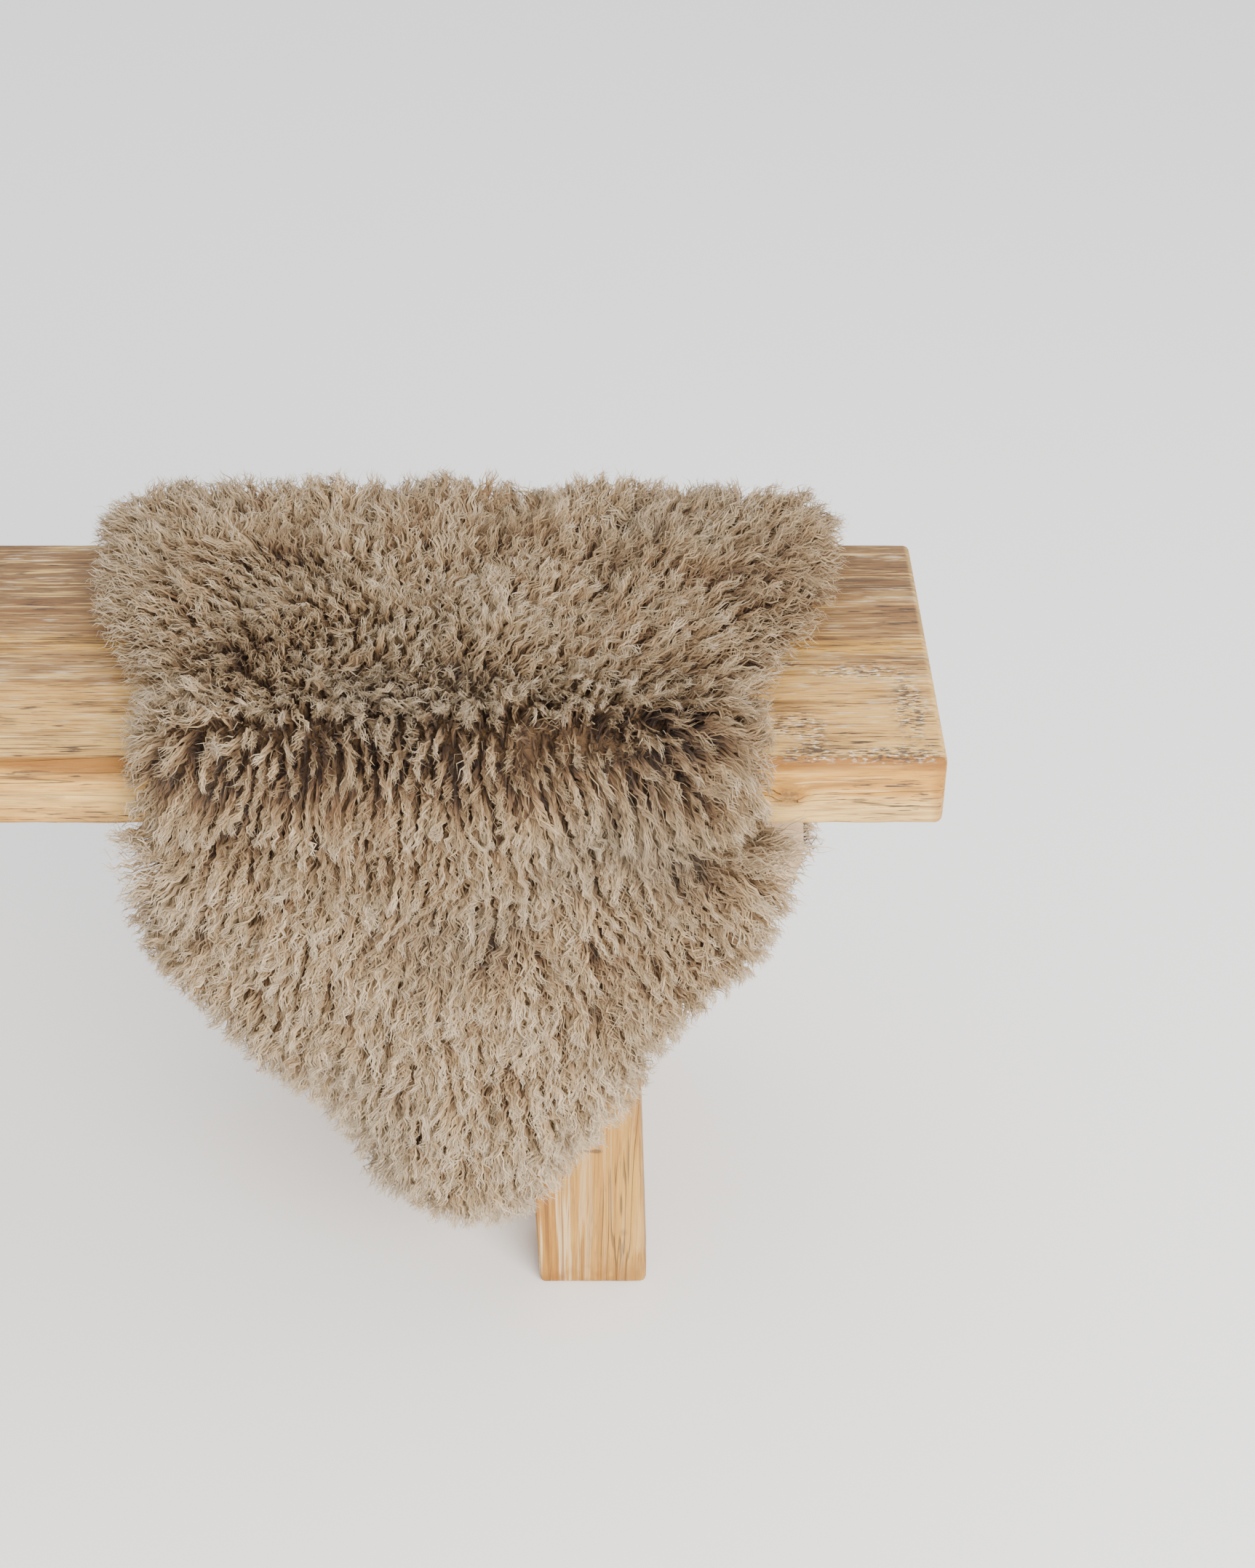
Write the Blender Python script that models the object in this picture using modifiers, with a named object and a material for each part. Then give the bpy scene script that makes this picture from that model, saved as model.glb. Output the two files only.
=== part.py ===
"""A sheepskin rug laid across a plain wooden bench.

The hide is cut flat, with its pile as its thickness, and is then bent over the seat: every point of the
flat cut at (across, along, height) goes to the draped surface at (across, along) plus height times the
surface's normal. X runs along the bench, -Y is its front and Z is up, in metres.
"""

import math
from collections import namedtuple

import bmesh
import bpy
from mathutils import Vector, noise

# Bench
SEAT_LENGTH = 1.100
SEAT_DEPTH = 0.251
SEAT_THICKNESS = 0.050
BENCH_HEIGHT = 0.460
ARRIS_RADIUS = 0.004  # worn edges of the plank
LEG_WIDTH = 0.076  # along the bench
LEG_DEPTH = 0.055
LEG_INSET = 0.1773  # from the plank's end to the leg's outer face, at the floor
LEG_SPLAY = math.radians(1.5)  # the feet stand further apart than the leg tops
JOINT_GAP = 0.0003  # between touching pieces

# Place of the hide on the bench
HIDE_CENTRE = 0.254  # X of the hide's spine
CLEARANCE = 0.0022  # flesh side to the wood
BEND_RADIUS = ARRIS_RADIUS + CLEARANCE
TOP_HALF = SEAT_DEPTH / 2 - ARRIS_RADIUS  # along the spine, from the seat's middle to the bend
BEND_LENGTH = BEND_RADIUS * math.pi / 2
HANG_START = TOP_HALF + BEND_LENGTH
BEND_TOP = BENCH_HEIGHT - ARRIS_RADIUS  # height of the bend's centre line

# Pile
PILE = 0.045
RIM_PILE = 0.015  # height of the pile at the cut edge
RIM_ROUNDING = 0.045  # how far in from the cut edge the pile gets its full height
LUMP_HEIGHT = 0.014
LUMP_SIZE = 0.048
RIDGE_HEIGHT = 0.006
RIDGE_SIZE = 0.026

# Hang of the free flaps
CURL = 0.030  # how far the shoulder lobes turn back under the seat
CURL_FROM = 0.095  # from the spine
CURL_WIDTH = 0.125
CURL_BELOW = 0.046  # along the hide, from the start of the hang
CURL_LENGTH = 0.120
FREE_DROP = 0.30  # below the bend, where the flap hangs free
BILLOW = 0.009  # the flap's middle stands this far out there
WAVE = 0.005
WAVE_LENGTH = 0.19
WAVE_PHASE = 0.15  # of a wave, in opposite ways in front and behind

# Half widths of the cut hide on each side of the spine, by distance along the spine from the seat's
# middle: the neck, in front, is positive
Girth = namedtuple("Girth", "along right left")
GIRTHS = (
    Girth(-0.420, 0.214, 0.208),
    Girth(-0.385, 0.232, 0.228),
    Girth(-0.330, 0.232, 0.236),
    Girth(-0.270, 0.236, 0.240),
    Girth(-0.200, 0.243, 0.244),
    Girth(-0.120, 0.232, 0.234),
    Girth(-0.060, 0.226, 0.226),
    Girth(0.000, 0.208, 0.211),
    Girth(0.050, 0.183, 0.187),
    Girth(0.095, 0.172, 0.174),
    Girth(0.135, 0.174, 0.174),
    Girth(0.160, 0.173, 0.172),
    Girth(0.185, 0.179, 0.177),
    Girth(0.215, 0.186, 0.184),
    Girth(0.242, 0.185, 0.185),
    Girth(0.270, 0.172, 0.178),
    Girth(0.292, 0.149, 0.161),
    Girth(0.315, 0.130, 0.142),
    Girth(0.340, 0.110, 0.120),
    Girth(0.365, 0.097, 0.092),
    Girth(0.388, 0.083, 0.074),
    Girth(0.410, 0.064, 0.061),
    Girth(0.438, 0.046, 0.052),
)
NECK_END = 0.466
NECK_RETREAT = NECK_END - GIRTHS[-1].along
TAIL_END = -0.470
TAIL_RETREAT = GIRTHS[0].along - TAIL_END
TAIL_SCALLOP = 0.016  # depth of the notches beside the tail
END_REACH = 0.110  # rows of the cut bend to the end's outline over this length

# Where the wool parts over the front bend: the turn of the bend, in degrees from straight up, across
# the hide, and how much of the pile's height the parting takes
Parting = namedtuple("Parting", "across turn depth")
PARTINGS = (
    Parting(-0.210, 46.0, 0.20),
    Parting(-0.140, 50.0, 0.46),
    Parting(-0.070, 49.0, 0.50),
    Parting(-0.020, 57.0, 0.34),
    Parting(0.016, 54.0, 0.40),
    Parting(0.034, 42.0, 0.46),
    Parting(0.075, 31.0, 0.52),
    Parting(0.115, 22.0, 0.38),
    Parting(0.150, 8.0, 0.10),
)
PARTING_WIDTH = 17.0  # degrees of the bend
BACK_PRESS = 0.34  # share of the pile's height lost over the back bend, where the wool lies down
BACK_PRESS_TURN = 40.0
BACK_PRESS_WIDTH = 42.0

# Mesh of the slab: rows across the hide, closer over the bends and at the ends
HANG_ROWS = 20
END_CROWDING = 0.55  # how much closer the rows stand at each end
BEND_ROWS = 8
TOP_ROWS = 14
COLUMNS = 26
EDGE_CROWDING = 0.40  # how much closer the columns stand at the cut edge

# Locks at the rim
STRIP_GAP = 0.0012
STRIP_WIDTH = 0.006
STRIP_FOOT = 0.0008  # the strip's underside over the flesh side
STRIP_HEIGHT = 0.012
LOCK_PITCH = 0.0130
LOCK_ROOT = 0.0095
LOCK_LENGTH = 0.025
LOCK_DROOP = 0.006
LOCK_SWAY = 0.35  # sideways lean, as a share of the length
SWAY_TURN = 0.7  # radians from lock to lock
LENGTH_TURN = 1.7
LENGTH_SPREAD = 0.08
LockStep = namedtuple("LockStep", "reach size droop lean")  # shares of the length, root, droop and sway
LOCK_STEPS = (LockStep(0.55, 0.72, 0.25, 0.08), LockStep(1.0, 0.30, 1.0, 0.5))
RIM_MARGIN = 0.012  # the rim strips stop this far from each bend

PINE = (0.56, 0.38, 0.20)
PINE_LEG = (0.60, 0.37, 0.17)
WOOL = (0.42, 0.34, 0.25)


def material(name, colour, roughness):
    """A plain finish."""
    finish = bpy.data.materials.new(name)
    finish.use_nodes = True
    shader = finish.node_tree.nodes["Principled BSDF"]
    shader.inputs["Base Color"].default_value = (*colour, 1.0)
    shader.inputs["Roughness"].default_value = roughness
    shader.inputs["Metallic"].default_value = 0.0
    return finish


def ease(value):
    """Smooth step from 0 to 1, clamped outside."""
    value = min(max(value, 0.0), 1.0)
    return value * value * (3.0 - 2.0 * value)


def read_table(rows, key, column, place):
    """The column's value at a place, on a smooth curve through the rows."""
    places = [getattr(row, key) for row in rows]
    values = [getattr(row, column) for row in rows]
    if place <= places[0]:
        return values[0]
    if place >= places[-1]:
        return values[-1]
    k = max(i for i, p in enumerate(places) if p <= place)

    def slope(i):
        i0, i1 = max(i - 1, 0), min(i + 1, len(rows) - 1)
        return (values[i1] - values[i0]) / (places[i1] - places[i0])

    step = places[k + 1] - places[k]
    f = (place - places[k]) / step
    start, end = slope(k) * step, slope(k + 1) * step
    return (
        (2 * f**3 - 3 * f**2 + 1) * values[k]
        + (f**3 - 2 * f**2 + f) * start
        + (3 * f**2 - 2 * f**3) * values[k + 1]
        + (f**3 - f**2) * end
    )


def drape(across, along):
    """Where a point of the flat hide lies once it hangs over the bench (flesh side)."""
    side = 1.0 if along >= 0 else -1.0
    run = abs(along)
    if run <= TOP_HALF:
        out, height = run, BENCH_HEIGHT + CLEARANCE
    elif run <= HANG_START:
        turn = (run - TOP_HALF) / BEND_RADIUS
        out = TOP_HALF + BEND_RADIUS * math.sin(turn)
        height = BEND_TOP + BEND_RADIUS * math.cos(turn)
    else:
        drop = run - HANG_START
        out = TOP_HALF + BEND_RADIUS
        height = BEND_TOP - drop
        curl = ease((abs(across) - CURL_FROM) / CURL_WIDTH) * ease((drop - CURL_BELOW) / CURL_LENGTH)
        out -= CURL * curl
        free = ease(drop / FREE_DROP)
        out += BILLOW * free * (1 - ease(abs(across) / CURL_FROM - 0.6))
        wave = 1 + math.sin(2 * math.pi * (across / WAVE_LENGTH + WAVE_PHASE * side))
        out += WAVE * wave * free * (1 - curl)
    return Vector((HIDE_CENTRE + across, -side * out, height))


def drape_normal(across, along):
    """The draped hide's normal, on the wool side."""
    step = 0.0015
    east = drape(across + step, along) - drape(across - step, along)
    south = drape(across, along + step) - drape(across, along - step)
    return south.cross(east).normalized()


def place_on_hide(flat):
    """The draped place of a flat point whose z is its height over the flesh side."""
    return drape(flat.x, flat.y) + drape_normal(flat.x, flat.y) * flat.z


def end_bow(across_share, along):
    """How far a row is drawn back at this share of its half width, so that the ends come out round."""
    if along > 0:
        weight = ease((along - NECK_END + END_REACH) / END_REACH)
        return -weight * NECK_RETREAT * across_share**2
    weight = ease((TAIL_END + END_REACH - along) / END_REACH)
    scallop = 0.5 * TAIL_SCALLOP * (1 - math.cos(3 * math.pi * across_share))
    return weight * ((TAIL_RETREAT - TAIL_SCALLOP) * across_share**4 + scallop)


def cut_point(across_share, along):
    """A flat point of the cut hide, by its share of the half width (-1 to 1) and its row."""
    edge = along + end_bow(1.0, along)
    column = "right" if across_share >= 0 else "left"
    half = read_table(GIRTHS, "along", column, edge)
    return Vector((across_share * half, along + end_bow(across_share, along), 0.0))


def bend_share(across, along):
    """How much of the pile's height is left where the wool turns over a bend."""
    turn = math.degrees((abs(along) - TOP_HALF) / BEND_RADIUS)
    if along < 0:
        return 1.0 - BACK_PRESS * math.exp(-(((turn - BACK_PRESS_TURN) / BACK_PRESS_WIDTH) ** 2))
    centre = read_table(PARTINGS, "across", "turn", across)
    depth = read_table(PARTINGS, "across", "depth", across)
    return 1.0 - depth * math.exp(-(((turn - centre) / PARTING_WIDTH) ** 2))


def pile_height(across, along, edge_distance):
    """Height of the wool over the flesh side."""
    spot = Vector((across / LUMP_SIZE, along / LUMP_SIZE, 0.0))
    fine = Vector((across / RIDGE_SIZE, 0.4 * along / RIDGE_SIZE, 7.0))
    full = PILE + LUMP_HEIGHT * noise.noise(spot) + RIDGE_HEIGHT * noise.noise(fine)
    full *= bend_share(across, along)
    inward = min(edge_distance / RIM_ROUNDING, 1.0)
    return RIM_PILE + (full - RIM_PILE) * math.sqrt(1.0 - (1.0 - inward) ** 2)


def row_places():
    """Distances along the spine of the slab's rows, from tail to neck."""
    even = [k / HANG_ROWS for k in range(HANG_ROWS)]
    hang = [(1 - END_CROWDING) * e + END_CROWDING * math.sin(0.5 * math.pi * e) for e in even]
    bend = [k / BEND_ROWS for k in range(BEND_ROWS)]
    top = [k / TOP_ROWS for k in range(TOP_ROWS)]
    back = [TAIL_END + (-HANG_START - TAIL_END) * (1 - f) for f in reversed(hang[1:])]
    places = [TAIL_END] + back
    places += [-HANG_START + BEND_LENGTH * f for f in bend]
    places += [-TOP_HALF + 2 * TOP_HALF * f for f in top]
    places += [TOP_HALF + BEND_LENGTH * f for f in bend]
    places += [HANG_START + (NECK_END - HANG_START) * f for f in hang] + [NECK_END]
    return places


def column_shares():
    """Places of the slab's columns, as shares of the half width."""
    even = [2 * k / COLUMNS - 1 for k in range(COLUMNS + 1)]
    return [(1 - EDGE_CROWDING) * e + EDGE_CROWDING * math.sin(0.5 * math.pi * e) for e in even]


def add_mesh_object(name, mesh_source, parts, finish, origin):
    """A new object from a bmesh, in the collection and under the origin empty."""
    mesh = bpy.data.meshes.new(name)
    bmesh.ops.recalc_face_normals(mesh_source, faces=mesh_source.faces)
    if mesh_source.calc_volume(signed=True) < 0:
        bmesh.ops.reverse_faces(mesh_source, faces=mesh_source.faces)
    mesh_source.to_mesh(mesh)
    mesh_source.free()
    mesh.materials.append(finish)
    piece = bpy.data.objects.new(name, mesh)
    parts.objects.link(piece)
    piece.parent = origin
    mesh.shade_smooth()
    mesh.set_sharp_from_angle(angle=math.radians(40))
    return piece


def edge_distance(point, outline):
    """Shortest flat distance from a point to the outline's closed line."""
    best = math.inf
    for start, end in zip(outline, outline[1:] + outline[:1]):
        run = end - start
        share = min(max((point - start).dot(run) / run.length_squared, 0.0), 1.0)
        best = min(best, (point - start - run * share).length)
    return best


def right_edge(places):
    """Points of the cut's right edge, from tail to neck."""
    return [cut_point(1.0, p) for p in places]


def left_edge(places):
    """Points of the cut's left edge, from neck to tail."""
    return [cut_point(-1.0, p) for p in reversed(places)]


def cut_outline(shares, places):
    """The slab's flat outline, up its right edge, round the neck and down its left."""
    neck = [cut_point(s, places[-1]) for s in reversed(shares[1:-1])]
    tail = [cut_point(s, places[0]) for s in shares[1:-1]]
    return right_edge(places) + neck + left_edge(places) + tail


def build_fleece(shares, places, parts, finish, origin):
    """The hide with its pile: a flat grid cut to the outline, thickened to the pile and draped."""
    outline = cut_outline(shares, places)
    form = bmesh.new()
    columns, rows = len(shares) - 1, len(places) - 1
    bmesh.ops.create_grid(form, x_segments=columns, y_segments=rows, size=1.0)
    for vert in form.verts:
        share = shares[round((vert.co.x + 1) / 2 * columns)]
        place = places[round((vert.co.y + 1) / 2 * rows)]
        vert.co = cut_point(share, place)
    raised = bmesh.ops.extrude_face_region(form, geom=form.faces[:])
    for vert in (g for g in raised["geom"] if isinstance(g, bmesh.types.BMVert)):
        vert.co.z = pile_height(vert.co.x, vert.co.y, edge_distance(vert.co, outline))
    for vert in form.verts:
        vert.co = place_on_hide(vert.co)
    return add_mesh_object("fleece", form, parts, finish, origin)


def outward_offset(line, distance):
    """The open line moved out by a distance, with mitred corners (the line runs counter-clockwise)."""
    moved = []
    for k, point in enumerate(line):
        before = (point - line[max(k - 1, 0)]).to_2d()
        after = (line[min(k + 1, len(line) - 1)] - point).to_2d()
        runs = [r.normalized() for r in (before, after) if r.length > 0]
        normals = [Vector((r.y, -r.x)) for r in runs]
        middle = sum(normals, Vector((0.0, 0.0))).normalized()
        moved.append(point + (middle * distance / middle.dot(normals[0])).to_3d())
    return moved


def walk(line, places):
    """Points at the given distances along an open line."""
    points, k, start = [], 0, 0.0
    for place in places:
        while k < len(line) - 2 and start + (line[k + 1] - line[k]).length < place:
            start += (line[k + 1] - line[k]).length
            k += 1
        run = line[k + 1] - line[k]
        points.append(line[k] + run * min((place - start) / run.length, 1.0))
    return points


def build_rim(name, line, parts, finish, origin):
    """A narrow strip along the cut edge, with a row of curved locks standing out from it."""
    inner = outward_offset(line, STRIP_GAP)
    outer = outward_offset(line, STRIP_GAP + STRIP_WIDTH)
    length = sum((b - a).length for a, b in zip(outer, outer[1:]))
    count = int(length / LOCK_PITCH)
    pitch = length / count
    margin = (pitch - LOCK_ROOT) / 2
    stations = [0.0]
    for k in range(count):
        stations += [k * pitch + margin, (k + 1) * pitch - margin]
    stations.append(length)
    outer = walk(outer, stations)

    form = bmesh.new()
    loop = [form.verts.new(p) for p in outer + inner[::-1]]
    face = form.faces.new(loop)
    for vert in form.verts:
        vert.co.z = STRIP_FOOT
    raised = bmesh.ops.extrude_face_region(form, geom=[face])
    for vert in (g for g in raised["geom"] if isinstance(g, bmesh.types.BMVert)):
        vert.co.z += STRIP_HEIGHT
    bmesh.ops.recalc_face_normals(form, faces=form.faces)
    for k in range(count):
        low = {loop[2 * k + 1], loop[2 * k + 2]}
        side = next(f for f in form.faces if len(f.verts) == 4 and low <= set(f.verts))
        grow_lock(form, side, k)
    bmesh.ops.triangulate(form, faces=[f for f in form.faces if len(f.verts) > 4])
    for vert in form.verts:
        vert.co = place_on_hide(vert.co)
    return add_mesh_object(name, form, parts, finish, origin)


def grow_lock(form, side, number):
    """One lock: the strip's face drawn out in steps, drooping and swaying to a blunt tip."""
    outward = side.normal.copy()
    sideways = Vector((-outward.y, outward.x, 0.0)) * LOCK_SWAY * math.sin(SWAY_TURN * number)
    length = LOCK_LENGTH * (1 + LENGTH_SPREAD * math.sin(LENGTH_TURN * number))
    root = side.calc_center_median()
    face, size = side, 1.0
    for step in LOCK_STEPS:
        face = bmesh.ops.extrude_discrete_faces(form, faces=[face])["faces"][0]
        centre = root + (outward * step.reach + sideways * step.lean) * length
        centre.z -= LOCK_DROOP * step.droop
        middle = face.calc_center_median()
        for vert in face.verts:
            vert.co = centre + (vert.co - middle) * step.size / size
        size = step.size


def build_bench(parts, seat_finish, leg_finish, origin):
    """The plank and its four splayed posts."""
    plank = (SEAT_LENGTH, SEAT_DEPTH, SEAT_THICKNESS)
    seat = add_block("bench_seat", plank, 0.0, parts, seat_finish, origin)
    seat.location.z = BENCH_HEIGHT - SEAT_THICKNESS / 2
    height = BENCH_HEIGHT - SEAT_THICKNESS - JOINT_GAP
    lean = height * math.tan(LEG_SPLAY)
    foot_x = SEAT_LENGTH / 2 - LEG_INSET - LEG_WIDTH / 2
    foot_y = (SEAT_DEPTH - LEG_DEPTH) / 2
    for end, x_sign in (("right", 1), ("left", -1)):
        for face, y_sign in (("front", -1), ("back", 1)):
            post = (LEG_WIDTH, LEG_DEPTH, height)
            leg = add_block(f"leg_{face}_{end}", post, -x_sign * lean, parts, leg_finish, origin)
            leg.location = (x_sign * foot_x, y_sign * foot_y, height / 2)


def add_block(name, size, lean, parts, finish, origin):
    """A sawn block with worn edges, its top shifted along X by the lean."""
    form = bmesh.new()
    bmesh.ops.create_cube(form, size=1.0)
    for vert in form.verts:
        vert.co = Vector(tuple(c * s for c, s in zip(vert.co, size)))
        if vert.co.z > 0:
            vert.co.x += lean
    piece = add_mesh_object(name, form, parts, finish, origin)
    worn = piece.modifiers.new("worn edges", "BEVEL")
    worn.width = ARRIS_RADIUS
    worn.segments = 2
    worn.limit_method = "ANGLE"
    worn.angle_limit = math.radians(60)
    return piece


def stand_on_origin(origin, parts):
    """Moves the origin empty so that the whole stands on Z = 0 with its box centred on X and Y."""
    bpy.context.view_layer.update()
    graph = bpy.context.evaluated_depsgraph_get()
    points = []
    for piece in parts.objects:
        if piece.type == "MESH":
            shown = piece.evaluated_get(graph)
            points += [shown.matrix_world @ vert.co for vert in shown.data.vertices]
    low = [min(p[k] for p in points) for k in range(3)]
    high = [max(p[k] for p in points) for k in range(3)]
    origin.location = (-(low[0] + high[0]) / 2, -(low[1] + high[1]) / 2, -low[2])
    bpy.context.view_layer.update()


def main():
    """Builds the rug and its bench."""
    for old in list(bpy.data.objects):
        bpy.data.objects.remove(old, do_unlink=True)
    parts = bpy.data.collections.new("sheepskin rug on a wooden bench")
    bpy.context.scene.collection.children.link(parts)
    origin = bpy.data.objects.new("stands here", None)
    parts.objects.link(origin)

    build_bench(parts, material("seat pine", PINE, 0.75), material("leg pine", PINE_LEG, 0.7), origin)
    wool = material("wool", WOOL, 0.9)
    shares, places = column_shares(), row_places()
    build_fleece(shares, places, parts, wool, origin)

    front = [p for p in places if p >= HANG_START + RIM_MARGIN]
    top = [p for p in places if abs(p) <= TOP_HALF - RIM_MARGIN / 2]
    back = [p for p in places if p <= -HANG_START - RIM_MARGIN]
    neck = [cut_point(s, NECK_END) for s in reversed(shares[1:-1])]
    tail = [cut_point(s, TAIL_END) for s in shares[1:-1]]
    rims = {
        "rim_front": right_edge(front) + neck + left_edge(front),
        "rim_back": left_edge(back) + tail + right_edge(back),
        "rim_right": right_edge(top),
        "rim_left": left_edge(top),
    }
    for name, line in rims.items():
        build_rim(name, line, parts, wool, origin)
    stand_on_origin(origin, parts)


main()
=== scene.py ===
"""Looks of the sheepskin rug on its plank bench: tanned hide, wavy wool, worn pine and a plain studio.

Lengths are in metres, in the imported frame: X along the bench, -Y its front, Z up. The hide is laid out
flat first, as (across, along): across from its spine, along from the seat's middle towards the neck.
"""

from __future__ import annotations

import logging
import math
from dataclasses import dataclass
from enum import Enum
from typing import Iterable, Mapping, Sequence, Union

import bpy
import numpy as np
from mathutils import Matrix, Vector, kdtree, noise


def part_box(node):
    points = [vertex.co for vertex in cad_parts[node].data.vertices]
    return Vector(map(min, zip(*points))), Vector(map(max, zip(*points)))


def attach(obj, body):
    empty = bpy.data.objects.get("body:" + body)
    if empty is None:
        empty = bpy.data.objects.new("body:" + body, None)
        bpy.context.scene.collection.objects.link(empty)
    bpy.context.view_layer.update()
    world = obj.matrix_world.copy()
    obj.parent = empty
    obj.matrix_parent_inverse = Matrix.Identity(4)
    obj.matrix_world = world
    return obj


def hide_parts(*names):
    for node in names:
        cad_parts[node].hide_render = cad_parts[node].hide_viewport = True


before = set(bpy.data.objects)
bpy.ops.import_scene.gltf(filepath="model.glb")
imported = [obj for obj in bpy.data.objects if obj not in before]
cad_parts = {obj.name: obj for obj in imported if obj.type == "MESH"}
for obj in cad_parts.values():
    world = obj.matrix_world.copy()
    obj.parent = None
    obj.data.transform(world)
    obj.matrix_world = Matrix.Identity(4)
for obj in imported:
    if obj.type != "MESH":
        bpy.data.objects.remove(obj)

LOG = logging.getLogger("sheepskin rug")
SPINE_FROM_END = 0.296
Array = np.ndarray
Colour = tuple[float, float, float, float]


def srgb(red: int, green: int, blue: int) -> Colour:
    """A colour read as 0 to 255 on a screen, in the linear values that shaders take.

    Args:
        red: red, 0 to 255.
        green: green, 0 to 255.
        blue: blue, 0 to 255.

    Returns:
        Linear red, green, blue and full alpha.
    """

    def linear(level: int) -> float:
        """One channel, made linear."""
        share = level / 255.0
        return share / 12.92 if share <= 0.04045 else ((share + 0.055) / 1.055) ** 2.4

    return (linear(red), linear(green), linear(blue), 1.0)


def ease(value: Array) -> Array:
    """Smooth step from 0 to 1, clamped outside."""
    value = np.clip(value, 0.0, 1.0)
    return value * value * (3.0 - 2.0 * value)


def hump(value: Array, reach: Union[float, Array]) -> Array:
    """A bell: 1 where the value is 0, and almost 0 from twice the reach on."""
    return np.exp(-((value / reach) ** 2))


def unit(vectors: Array) -> Array:
    """The vectors, scaled to length 1 along their last axis."""
    return vectors / np.maximum(np.linalg.norm(vectors, axis=-1, keepdims=True), 1e-9)


def turned(ways: Array, angle: Array) -> Array:
    """Flat directions, each turned by an angle in radians."""
    cos, sin = np.cos(angle), np.sin(angle)
    return np.column_stack([ways[:, 0] * cos - ways[:, 1] * sin, ways[:, 0] * sin + ways[:, 1] * cos])


def lumps(points: Array, size: float, layer: float = 0.0) -> Array:
    """Smooth noise from about -1 to 1.

    Args:
        points: places, 2 or 3 numbers each.
        size: how far apart its lumps are.
        layer: a number that picks another pattern.

    Returns:
        One value a place.
    """
    flat = points.reshape(-1, points.shape[-1]) / size
    if flat.shape[1] == 2:
        flat = np.column_stack([flat, np.full(len(flat), layer)])
    else:
        flat = flat + np.array([0.0, 0.0, layer])
    return np.array([noise.noise(Vector(p)) for p in flat.tolist()]).reshape(points.shape[:-1])


def nearest_of(places: Array, flat: Array) -> Array:
    """The place nearest to each flat point.

    Args:
        places: flat places, one a row.
        flat: flat points, one a row.

    Returns:
        The number of a place for each point.
    """
    tree = kdtree.KDTree(len(places))
    for k, (across, along) in enumerate(places.tolist()):
        tree.insert((across, along, 0.0), k)
    tree.balance()
    return np.array([tree.find((across, along, 0.0))[1] for across, along in flat.tolist()])


class Tone:
    """A number, colour or vector inside a material: a socket that can be reckoned with."""

    def __init__(self, recipe: Recipe, socket: bpy.types.NodeSocket) -> None:
        """Keeps the recipe and the socket that the value leaves by."""
        self.recipe = recipe
        self.socket = socket

    def __add__(self, other: Value) -> Tone:
        """The sum."""
        return self.recipe.number("ADD", self, other)

    __radd__ = __add__

    def __sub__(self, other: Value) -> Tone:
        """The difference."""
        return self.recipe.number("SUBTRACT", self, other)

    def __rsub__(self, other: Value) -> Tone:
        """The difference from another value."""
        return self.recipe.number("SUBTRACT", other, self)

    def __mul__(self, other: Value) -> Tone:
        """The product."""
        return self.recipe.number("MULTIPLY", self, other)

    __rmul__ = __mul__

    def __truediv__(self, other: Value) -> Tone:
        """The quotient."""
        return self.recipe.number("DIVIDE", self, other)

    def __rtruediv__(self, other: Value) -> Tone:
        """Another value's quotient by this one."""
        return self.recipe.number("DIVIDE", other, self)

    def over(self, low: float, high: float) -> Tone:
        """A soft mask.

        Args:
            low: where it is 0, and under it, or over it where low is the larger number.
            high: where it is 1, and beyond it.

        Returns:
            The mask, from 0 to 1.
        """
        return self.recipe.node(
            "ShaderNodeMapRange",
            {"interpolation_type": "SMOOTHSTEP"},
            {0: self, 1: low, 2: high, 3: 0.0, 4: 1.0},
        )


Value = Union[Tone, float, Sequence[float]]


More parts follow.
